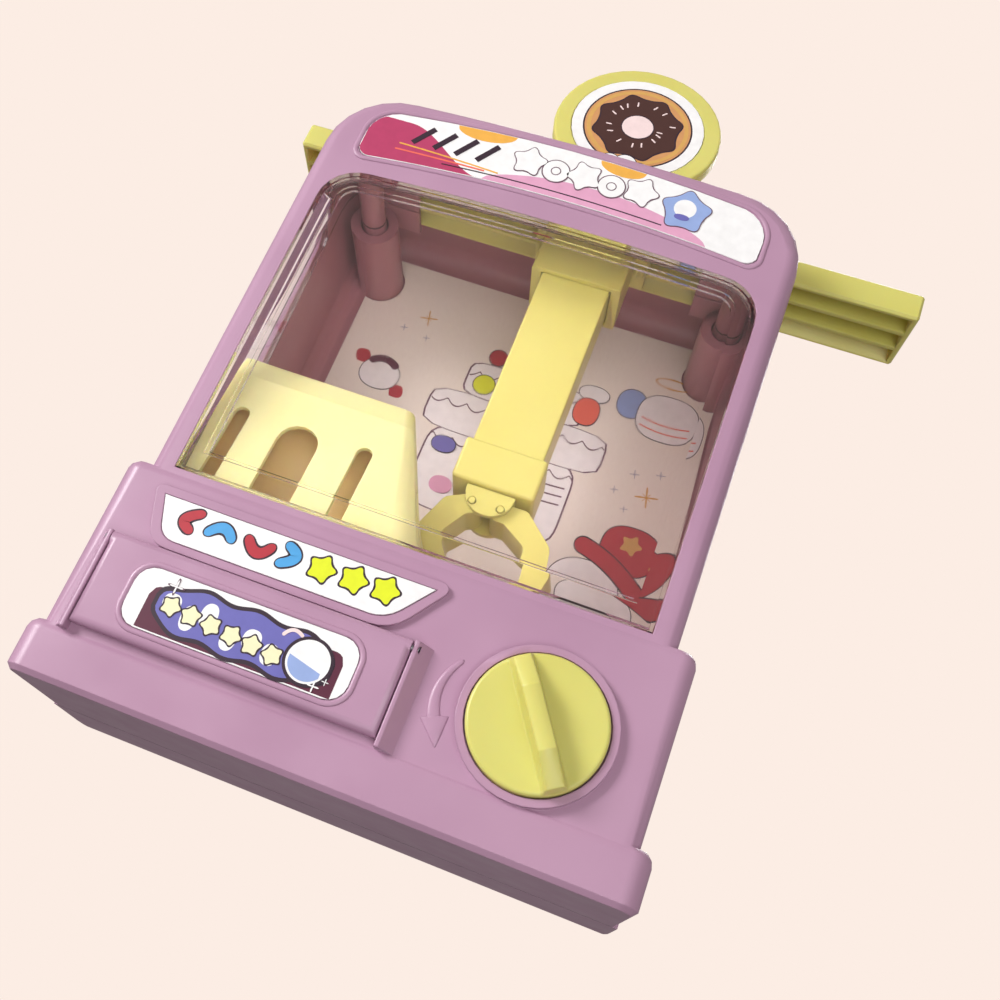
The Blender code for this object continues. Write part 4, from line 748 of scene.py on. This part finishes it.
@dataclass
class DoorPrint(PrintedFace):
    """The door film: a cloud-edged violet plate, a ball and small glints."""

    name: str = "door_print"
    node: str = "door_label"
    left: float = -58.0
    right: float = -1.2
    floor: float = 21.6
    beads: int = 6

    def plinth_top(self, x: Array) -> Array:
        """Top edge of the maroon plate, with rounded shoulders."""
        out = np.clip(3.0 - np.minimum(x - self.left, self.right - x), 0.0, 3.0)
        return 31.1 + arc(out, 3.0)

    def cloud(self, grow: float, sign: float) -> Curve:
        """Upper (+1) or lower (-1) edge of the violet plate: a superellipse with waves."""
        def edge(x: Array) -> Array:
            share = np.clip(np.abs(x + 29.6) / (25.4 + grow), 0, 1)
            body = (6.4 + grow) * (1 - share ** 4) ** 0.35
            wave = 0.7 * np.sin(x * 0.42 + (0.6 if sign > 0 else 2.4))
            return 29.4 - 0.02 * (x + 29.6) + sign * (body + wave * np.minimum(body / 4, 1))
        return edge

    def build(self) -> None:
        """Print the film."""
        self.area(Ink.MAROON, (self.left, self.right), lambda x: np.full_like(x, self.floor),
                  self.plinth_top, 0)
        self.area(Ink.OUTLINE, (-56.1, -3.1), self.cloud(1.2, -1), self.cloud(1.2, 1), 1, 90)
        self.area(Ink.VIOLET, (-54.9, -4.3), self.cloud(0.0, -1), self.cloud(0.0, 1), 2, 90)
        for x, z, wide, tall in ((-51.0, 31.0, 2.6, 2.6), (-45.0, 28.5, 2.2, 3.6),
                                 (-40.0, 31.0, 2.4, 3.6), (-32.5, 27.0, 2.2, 3.2),
                                 (-26.5, 29.0, 2.6, 3.0), (-20.5, 27.0, 2.4, 3.0)):
            self.patch(Ink.WHITE, (x, z), rounded_box(wide, tall, 2.3), 3)
        for i in range(self.beads):
            self.outlined(Ink.CREAM, (-50.8 + 6.2 * i, 29.9 - 0.55 * i), star(2.35, 5, 0.16),
                          4, 0.5, 0.4 * i)
        x0, z0 = -10.2, 28.9
        self.outlined(Ink.WHITE, (x0, z0), disc(6.0), 4, 0.9)
        self.area(Ink.PERIWINKLE, (x0 - 5.3, x0 + 4.3), lambda x: z0 - arc(x - x0, 5.4),
                  lambda x: np.maximum(z0 - 0.9 - 0.25 * (x - x0),
                                       z0 - arc(x - x0, 5.4) + 0.01), 6)
        self.stroke(Ink.PALE_PINK, ((-19.4, 33.2), (-17.6, 37.2), (-14.0, 34.6)), 0.5, 6)
        self.patch(Ink.FINE_LINE, (-51.8, 35.4), sparkle(2.6), 6)
        self.patch(Ink.WHITE, (-51.8, 35.4), sparkle(2.0), 7)
        self.patch(Ink.WHITE, (-6.4, 23.3), sparkle(1.7), 6)
        self.patch(Ink.WHITE, (-3.8, 25.4), sparkle(1.0), 6)
        self.press()


@dataclass
class SignPrint(PrintedFace):
    """The topper's round film: an iced ring with sprinkles."""

    name: str = "sign_print"
    node: str = "topper_label"
    lean: float = math.radians(5)
    ring: float = 18.7
    icing: float = 14.6
    hole: float = 5.5
    sprinkles: int = 15

    def build(self) -> None:
        """Print the film."""
        centre = box_mm("topper_label")[2][[0, 2]]
        self.outlined(Ink.DOUGH, centre, disc(self.ring), 0, 0.6)
        self.loop(Ink.GOLD, centre, disc(self.ring - 1.5), 0.7, 2)
        self.outlined(Ink.ICING, centre, star(self.icing, 8, 0.065), 2, 0.6, 0.4)
        count = np.arange(self.sprinkles)
        for a, r in zip(count * GOLDEN_ANGLE, 8.0 + 4.6 * (count * GOLDEN_RATIO % 1.0)):
            middle = centre + r * np.array([math.cos(a), math.sin(a)])
            lean = 1.1 * np.array([math.cos(2.3 * a), math.sin(2.3 * a)])
            self.stroke(Ink.PALE_PINK, (middle - lean, middle, middle + lean), 0.27, 4)
        self.outlined(Ink.PALE_PINK, centre, disc(self.hole), 4, 0.4)
        for x, z, r in ((-9.0, -19.5, 2.6), (-4.6, -19.0, 3.4), (0.8, -18.4, 3.9),
                        (6.0, -19.6, 3.0)):
            self.outlined(Ink.WHITE, (centre[0] + x, centre[1] + z), disc(r), 6, 0.35)
        self.press()


@dataclass
class BackdropPrint(PrintedFace):
    """The card behind the prizes: a tiered cake in fine line, sweets, a hat and glints."""

    name: str = "backdrop_print"
    node: str = "backdrop_card"
    glints: tuple[Triple, ...] = (
        (-41.5, 189.5, 3.6), (-49.0, 182.6, 1.6), (-39.4, 181.0, 1.5), (58.2, 146.0, 4.4),
        (51.6, 153.4, 1.9), (46.5, 145.2, 1.6), (52.0, 139.0, 1.5), (60.5, 156.0, 1.8),
        (-60.0, 122.0, 3.0), (-52.0, 116.0, 1.6))

    def cake(self) -> None:
        """Three tiers with icing drips, a cherry, a swirl and fruit."""
        tiers = ((4.0, 132.0, 28.0, 17.0), (5.0, 155.5, 34.0, 8.5), (4.0, 171.0, 23.0, 7.5))
        for under, (x0, z0, half_x, half_z) in zip((0, 3, 6), tiers):
            tier = rounded_box(half_x, half_z, 6)
            self.patch(Ink.WHITE, (x0, z0), tier, under)
            self.loop(Ink.FINE_LINE, (x0, z0), tier, 0.34, under + 1)
            drips = lambda x, hem=z0 + half_z - 4.6: hem - 2.4 * np.abs(np.sin(x * 0.42))
            self.area(Ink.FINE_LINE, (x0 - half_x + 0.6, x0 + half_x - 0.6), drips,
                      lambda x, low=drips: low(x) + 0.55, under + 2, 140)
        for z in (139.0, 135.6, 132.2):
            self.stroke(Ink.FINE_LINE, ((14.0, z), (22.0, z - 0.6), (30.0, z + 0.2)), 0.28, 2)
        self.outlined(Ink.RED, (-10.5, 182.1), disc(3.3), 9, 0.35)
        self.outlined(Ink.STAR, (-11.8, 169.4), disc(4.0), 9, 0.35)
        self.outlined(Ink.WHITE, (28.0, 179.6), rounded_box(5.6, 3.2, 2.2), 9, 0.32)
        self.outlined(Ink.CORAL, (27.4, 171.6), rounded_box(4.6, 5.6, 2.4), 11, 0.32)
        self.outlined(Ink.VIOLET, (-17.1, 141.0), rounded_box(4.4, 3.2, 2.2), 9, 0.32)

    def sweets(self) -> None:
        """A wrapped sweet, a pale dome under a ring, a balloon and a red hat."""
        for tip, root in (((-62.0, 167.4), (-56.5, 163.8)), ((-39.6, 153.6), (-44.4, 157.0))):
            middle = ((tip[0] + root[0]) / 2, (tip[1] + root[1]) / 2 + 0.6)
            self.stroke(Ink.RED, (tip, middle, root), 3.0, 1, 0.3)
        self.outlined(Ink.WHITE, (-50.4, 160.4), rounded_box(7.6, 6.2, 2.2), 3, 0.32)
        self.stroke(Ink.MAROON, ((-56.0, 164.4), (-50.4, 169.6), (-44.8, 164.4)), 1.5, 5)
        self.outlined(Ink.PERIWINKLE, (42.0, 180.6), rounded_box(5.2, 6.0, 2.2), 1, 0.3)
        self.outlined(Ink.WHITE, (56.0, 178.4), rounded_box(11.0, 9.4, 2.6), 3, 0.32)
        for z in (173.6, 176.8):
            self.stroke(Ink.CORAL, ((47.0, z), (56.0, z - 2.4), (65.0, z)), 0.24, 5)
        self.loop(Ink.GOLD, (54.0, 193.4), rounded_box(6.4, 2.0, 2.0), 0.34, 1)
        self.patch(Ink.PINK, (-12.4, 125.4), rounded_box(4.2, 3.4, 2.2), 9)
        self.outlined(Ink.WHITE, (47.0, 103.0), rounded_box(13.0, 13.0, 2.4), 1, 0.36)
        self.outlined(Ink.RED, (58.5, 124.0), rounded_box(10.0, 9.0, 2.6), 3, 0.4)
        self.stroke(Ink.OUTLINE, ((39.6, 121.6), (57.0, 119.0), (71.0, 103.0)), 3.5, 5)
        self.stroke(Ink.RED, ((40.0, 121.4), (57.0, 119.0), (70.6, 103.4)), 3.0, 6)
        self.patch(Ink.GOLD, (58.6, 126.4), star(3.2), 7)

    def build(self) -> None:
        """Print the card."""
        self.cake()
        self.sweets()
        for x, z, size in self.glints:
            self.patch(Ink.GOLD if size > 2 else Ink.GREY, (x, z), glint(size), 1, 0.0, 0.2)
        self.press()


# ---- moulded pieces ----
@dataclass
class TurnKnob:
    """The dispenser's turn knob: a dished disc with one tall grip across it."""

    radius: float = 18.6
    face_y: float = -42.6
    back_y: float = -39.2
    boss_radius: float = 4.6
    boss_y: float = -33.2
    grip_half: float = 2.3
    grip_height: float = 7.8
    grip_blend: float = 1.3
    ramp: float = 0.55
    ramp_foot: float = 0.3
    grip_turn: float = math.radians(33)
    edge: float = 1.1

    def height(self, across: Array, along: Array) -> Array:
        """Height over the disc's face.

        The grip is a smooth step of (half width + blend - |across|) / blend, times a step
        at its two ends. Its crest is slightly crowned across, level over the middle and
        ramped down in a straight line towards the rim.
        """
        wall = smooth_step((self.grip_half + self.grip_blend - np.abs(across)) / self.grip_blend)
        ends = smooth_step((self.radius - 0.3 - np.abs(along)) / 0.9)
        slope = np.clip((self.radius - np.abs(along)) / (self.ramp * self.radius), 0, 1)
        crown = 1 - 0.07 * (across / self.grip_half) ** 2
        return (self.grip_height * wall ** 1.4 * ends * np.clip(crown, 0.5, 1)
                * (self.ramp_foot + (1 - self.ramp_foot) * slope))

    def build(self) -> None:
        """Sweep the face as rings of points, then down the rim, over the back and boss."""
        middle = box_mm("control_knob")[2][[0, 2]]
        ring = np.concatenate([np.linspace(0.0, 0.90, 110), np.linspace(0.905, 1.0, 26)])
        angle = around(240)
        r, a = np.meshgrid(ring * self.radius, angle, indexing="ij")
        x, z = r * np.cos(a), r * np.sin(a)
        axis = (-math.sin(self.grip_turn), math.cos(self.grip_turn))
        along, across = x * axis[0] + z * axis[1], x * axis[1] - z * axis[0]
        out = np.clip((r - self.radius + self.edge) / self.edge, 0, 1)
        fall = self.edge * (1 - np.sqrt(np.clip(1 - out ** 2, 0, 1)))
        dish = 0.7 * (1 - (r / self.radius) ** 2)
        y = self.face_y + fall + dish - self.height(across, along)
        face = np.stack([middle[0] + x, y, middle[1] + z], axis=-1)
        tail = [np.stack([middle[0] + rr * np.cos(angle), np.full_like(angle, yy),
                          middle[1] + rr * np.sin(angle)], axis=-1)
                for rr, yy in ((self.radius, self.back_y), (self.boss_radius, self.back_y),
                               (self.boss_radius, self.boss_y), (0.0, self.boss_y))]
        points = np.concatenate([face, tail])
        knob = mesh_piece("turn_knob", [(points.reshape(-1, 3),
                                         grid_faces(len(points), len(angle), True))],
                          FINISHES.of(YELLOW), 50.0)
        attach(knob, "knob")
        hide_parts("control_knob")


@dataclass
class PrizeBall:
    """The loose prize ball, with the faint weld line of its two halves."""

    groove: float = 0.12

    def build(self) -> None:
        """Sphere by latitude and longitude whose radius dips in a narrow line."""
        low, high, centre = box_mm("prize_ball")
        radius = (high[2] - low[2]) / 2
        tilt, turn = np.meshgrid(np.linspace(0, np.pi, 65), around(96), indexing="ij")
        r = radius - self.groove * np.exp(-((tilt - np.pi / 2) / 0.03) ** 2)
        points = np.stack([r * np.sin(tilt) * np.cos(turn), r * np.cos(tilt),
                           r * np.sin(tilt) * np.sin(turn)], axis=-1) + centre
        ball = mesh_piece("prize_ball_shell", [(points.reshape(-1, 3), grid_faces(65, 96, True))],
                          FINISHES.of(BALL_BLUE))
        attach(ball, PIECE_BODY["prize_ball"])
        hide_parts("prize_ball")


def moulded_ridge(path: Array, half: Array, proud: Array, base_y: float) -> tuple[Array, Array]:
    """A rounded ridge along a path on a face that looks along -Y.

    Each section is a half ellipse: its half width across the path, its height off the face.

    Args:
        path: points (n, 2) as x and z; a closed ridge repeats its first point at the end.
        half: half width at each point.
        proud: height at each point.
        base_y: depth of the ridge's foot.

    Returns:
        Points and quads of the ridge.
    """
    slope = np.gradient(path, axis=0)
    closed = np.allclose(path[0], path[-1])
    if closed:
        slope[0] = slope[-1] = path[1] - path[-2]
    slope /= np.linalg.norm(slope, axis=1, keepdims=True)
    turn = np.linspace(0, np.pi, 11)
    side = np.column_stack([-slope[:, 1], slope[:, 0]])[:, None, :]
    flat = path[:, None, :] + side * (half[:, None] * np.cos(turn))[:, :, None]
    y = base_y - proud[:, None] * np.sin(turn)
    points = np.stack([flat[:, :, 0], y, flat[:, :, 1]], axis=-1)
    if not closed:
        points[0], points[-1] = points[0].mean(0), points[-1].mean(0)
    return points.reshape(-1, 3), grid_faces(len(path), 11, True)


@dataclass
class TurnArrow:
    """The moulded arrow beside the knob: a broad low shaft with a head."""

    face_y: float = -38.8
    proud: float = 0.6

    def build(self) -> None:
        """Shaft along a bowed line, then the head's straight taper."""
        t = np.linspace(0, 1, 28)[:, None]
        shaft = np.array([27.2, 45.2]) * (1 - t) ** 2 + 2 * np.array([20.8, 36.6]) * t * (1 - t) \
            + np.array([25.4, 27.4]) * t ** 2
        head = np.array([25.2, 28.4]) * (1 - t) + np.array([28.3, 20.6]) * t
        patches = []
        for path, half in ((shaft, np.linspace(0.7, 1.9, 28)), (head, np.linspace(4.0, 0.2, 28))):
            lift = self.proud * np.minimum(half / half.max() * 1.8, 1.0)
            patches.append(moulded_ridge(path, half, lift, self.face_y + 0.05))
        arrow = mesh_piece("turn_arrow", patches, FINISHES.of(LILAC), 60.0)
        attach(arrow, "cabinet")


@dataclass
class LabelBeads:
    """The low beads moulded around the header film and the door film."""

    half: float = 0.85
    proud: float = 0.5
    gap: float = 1.0
    corner: float = 6.5
    sunk: float = 0.3

    def ring(self, name: str, node: str, path: Array, base_y: float) -> None:
        """A closed bead that rides with the node."""
        path = np.vstack([path, path[:1]])
        size = np.full(len(path), self.half)
        patch = moulded_ridge(path, size, np.full(len(path), self.proud), base_y + 0.05)
        bead = mesh_piece(name, [patch], FINISHES.of(LILAC), 60.0)
        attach(bead, PIECE_BODY[node])

    def build(self) -> None:
        """Header: the film's outline, a little larger. Door: a round-cornered box."""
        film = HeaderPrint()
        outline = HeaderPrint(half=film.half + self.gap, margin=-self.gap)
        x = outline.half * np.sin(np.linspace(-np.pi / 2, np.pi / 2, 121))
        path = np.vstack([np.column_stack([x, outline.top(x)]),
                          np.column_stack([x, outline.bottom(x)])[::-1]])
        self.ring("header_bead", "header_label", path, box_mm("header_label")[0][1] + self.sunk)
        low, high, middle = box_mm("door_label")
        half = (high - low)[[0, 2]] / 2 + self.gap - self.corner
        angle = around(96) + np.pi / 96
        ray = np.column_stack([np.cos(angle), np.sin(angle)])
        path = middle[[0, 2]] + np.sign(ray) * half + self.corner * ray
        self.ring("door_bead", "door_label", path, low[1] + self.sunk)


@dataclass
class Casing:
    """The shells, glazing, films' carriers and everything fixed inside them."""

    copies: tuple[tuple[str, object], ...] = (
        ("front_shell", LILAC), ("rear_shell", LILAC), ("clear_window", STYRENE),
        ("topper_sign", YELLOW), ("prize_fence", YELLOW_PAINTED_LIGHT_AND_SHADE), ("play_deck", LILAC_PAINTED_SHADE),
        ("dispenser_housing", LILAC_PAINTED_SHADE), ("prize_chute", YELLOW))
    dressed: tuple[tuple[str, object], ...] = (
        ("side_window_left", STYRENE), ("side_window_right", STYRENE),
        ("header_label", WHITE_FILM), ("control_label", WHITE_FILM),
        ("topper_label", WHITE_FILM), ("backdrop_card", CARD), ("door_pin", ZINC))

    def build(self) -> None:
        """Copy the rounded pieces, dress the flat ones."""
        for node, finish in self.copies:
            merged_copy(node, finish)
            LOG.info("%s copied", node)
        for node, finish in self.dressed:
            dress(node, finish)
        for node in frame["nodes"]:
            if node.startswith(("collar_screw", "prong_pin")):
                dress(node, YELLOW)
            elif node.startswith("shell_screw") or node == "shaft_clip":
                dress(node, ZINC)
        PrizeBall().build()
        TurnArrow().build()


@dataclass
class Crane:
    """The slide bar, collar, arm and claw."""

    pieces: tuple[str, ...] = ("slide_bar", "arm_collar", "claw_arm", "claw_head", "claw_hub",
                               "prong_left", "prong_right", "dispenser_drum")

    def build(self) -> None:
        """Copy each moulded piece with smooth shading."""
        for node in self.pieces:
            merged_copy(node, YELLOW)


@dataclass
class Door:
    """The prize door and its film."""

    def build(self) -> None:
        """Copy the flap and print its film."""
        merged_copy("prize_door", LILAC)
        dress("door_label", WHITE_FILM)
        DoorPrint().build()


# ---- studio ----
@dataclass
class Studio:
    """Camera, soft lights, plain world and a floor that only shows from above."""

    eye: Triple = (57.3, -324.0, -33.2)
    yaw: float = -0.1912
    pitch: float = 0.3513
    roll: float = 0.4015
    lens: float = 40.29
    shift: Pair = (0.085, 0.0373)
    backdrop: str = "#FCEDE4"
    daylight: str = "#FFF6F4"
    daylight_strength: Pair = (0.15, 0.40)
    floor_z: float = -0.4
    floor_half: float = 3000.0
    floor_glow: float = 0.86
    aim: Triple = (0.0, 0.0, 0.13)
    lamps: tuple[tuple[str, Triple, float, float], ...] = (
        ("key_softbox", (-1.05, -0.85, 0.38), 0.5, 17.0),
        ("fill_softbox", (0.45, -1.05, -0.38), 0.9, 6.5),
        ("rear_softbox", (0.1, 0.9, 0.9), 0.8, 9.0))

    def camera(self) -> None:
        """Place the camera: look along yaw and pitch, then turn about the view."""
        forward = Vector((math.sin(self.yaw) * math.cos(self.pitch),
                          math.cos(self.yaw) * math.cos(self.pitch), math.sin(self.pitch)))
        right = Vector((math.cos(self.yaw), -math.sin(self.yaw), 0.0))
        up = right.cross(forward)
        c, s = math.cos(self.roll), math.sin(self.roll)
        right, up = c * right + s * up, -s * right + c * up
        turn = Matrix((right, up, -forward)).transposed().to_4x4()
        data = bpy.data.cameras.new("studio_camera")
        data.sensor_width = 36.0
        data.lens = self.lens
        data.shift_x, data.shift_y = self.shift
        data.clip_start = 0.01
        camera = bpy.data.objects.new("studio_camera", data)
        camera.matrix_world = Matrix.Translation(Vector(self.eye) * MM) @ turn
        bpy.context.scene.collection.objects.link(camera)
        bpy.context.scene.camera = camera

    def softbox(self, name: str, place: Triple, size: float, watts: float) -> None:
        """A square soft light that faces the middle of the machine."""
        data = bpy.data.lights.new(name, "AREA")
        data.size = size
        data.energy = watts
        light = bpy.data.objects.new(name, data)
        light.location = place
        facing = Vector(self.aim) - Vector(place)
        light.rotation_euler = facing.to_track_quat("-Z", "Y").to_euler()
        bpy.context.scene.collection.objects.link(light)

    def world(self) -> None:
        """Even pale world: one tone for the eye, a softer one that falls off below."""
        world = bpy.data.worlds.new("studio_world")
        bpy.context.scene.world = world
        world.use_nodes = True
        tree = world.node_tree
        tree.nodes.clear()
        seen = add_node(tree, "Background", {"Color": linear(self.backdrop), "Strength": 1.0})
        place = add_node(tree, "TexCoord")
        split = add_node(tree, "SeparateXYZ", {0: place.outputs["Generated"]})
        lift = spread(tree, split.outputs["Z"], (-1.0, 1.0), self.daylight_strength)
        light = add_node(tree, "Background", {"Color": linear(self.daylight), "Strength": lift})
        eye = add_node(tree, "LightPath")
        open_view = add_node(tree, "Math", {0: eye.outputs["Is Camera Ray"],
                              1: eye.outputs["Is Transmission Ray"]}, operation="MAXIMUM")
        mix = add_node(tree, "MixShader", {0: open_view, 1: light, 2: seen})
        add_node(tree, "OutputWorld", {"Surface": mix})

    def floor(self) -> None:
        """A wide pale floor under the plinth that is clear from below and to other light."""
        corners = ((-1, -1), (1, -1), (1, 1), (-1, 1))
        points = np.array([(x * self.floor_half, y * self.floor_half, self.floor_z)
                           for x, y in corners])
        material = bpy.data.materials.new("Studio floor")
        material.use_nodes = True
        tree = material.node_tree
        tree.nodes.clear()
        paint = add_node(tree, "BsdfDiffuse", {"Color": linear(self.backdrop)})
        glow = add_node(tree, "Emission",
                        {"Color": linear(self.backdrop), "Strength": self.floor_glow})
        sheet = add_node(tree, "MixShader", {0: 0.8, 1: paint, 2: glow})
        clear = add_node(tree, "BsdfTransparent")
        below = add_node(tree, "NewGeometry")
        eye = add_node(tree, "LightPath")
        above = add_node(tree, "Math",
                         {0: 1.0, 1: below.outputs["Backfacing"]}, operation="SUBTRACT")
        seen = both(tree, above, eye.outputs["Is Camera Ray"])
        mix = add_node(tree, "MixShader", {0: seen, 1: clear, 2: sheet})
        add_node(tree, "OutputMaterial", {"Surface": mix})
        mesh = bpy.data.meshes.new("studio_floor")
        mesh.from_pydata((points * MM).tolist(), [], [[0, 1, 2, 3]])
        shaded_object("studio_floor", mesh, material, 30.0)

    def build(self) -> None:
        """Set up the whole studio."""
        self.camera()
        for lamp in self.lamps:
            self.softbox(*lamp)
        self.world()
        self.floor()


def main() -> None:
    """Build the studio and each sub-assembly in order."""
    logging.basicConfig(level=logging.INFO)
    bpy.context.scene.view_settings.view_transform = "Standard"
    for part in (Studio(), Casing(), Crane(), Door(), TurnKnob(), HeaderPrint(),
                 ControlPrint(), SignPrint(), BackdropPrint(), LabelBeads()):
        part.build()
        LOG.info("%s built", type(part).__name__)


if __name__ == "__main__":
    main()
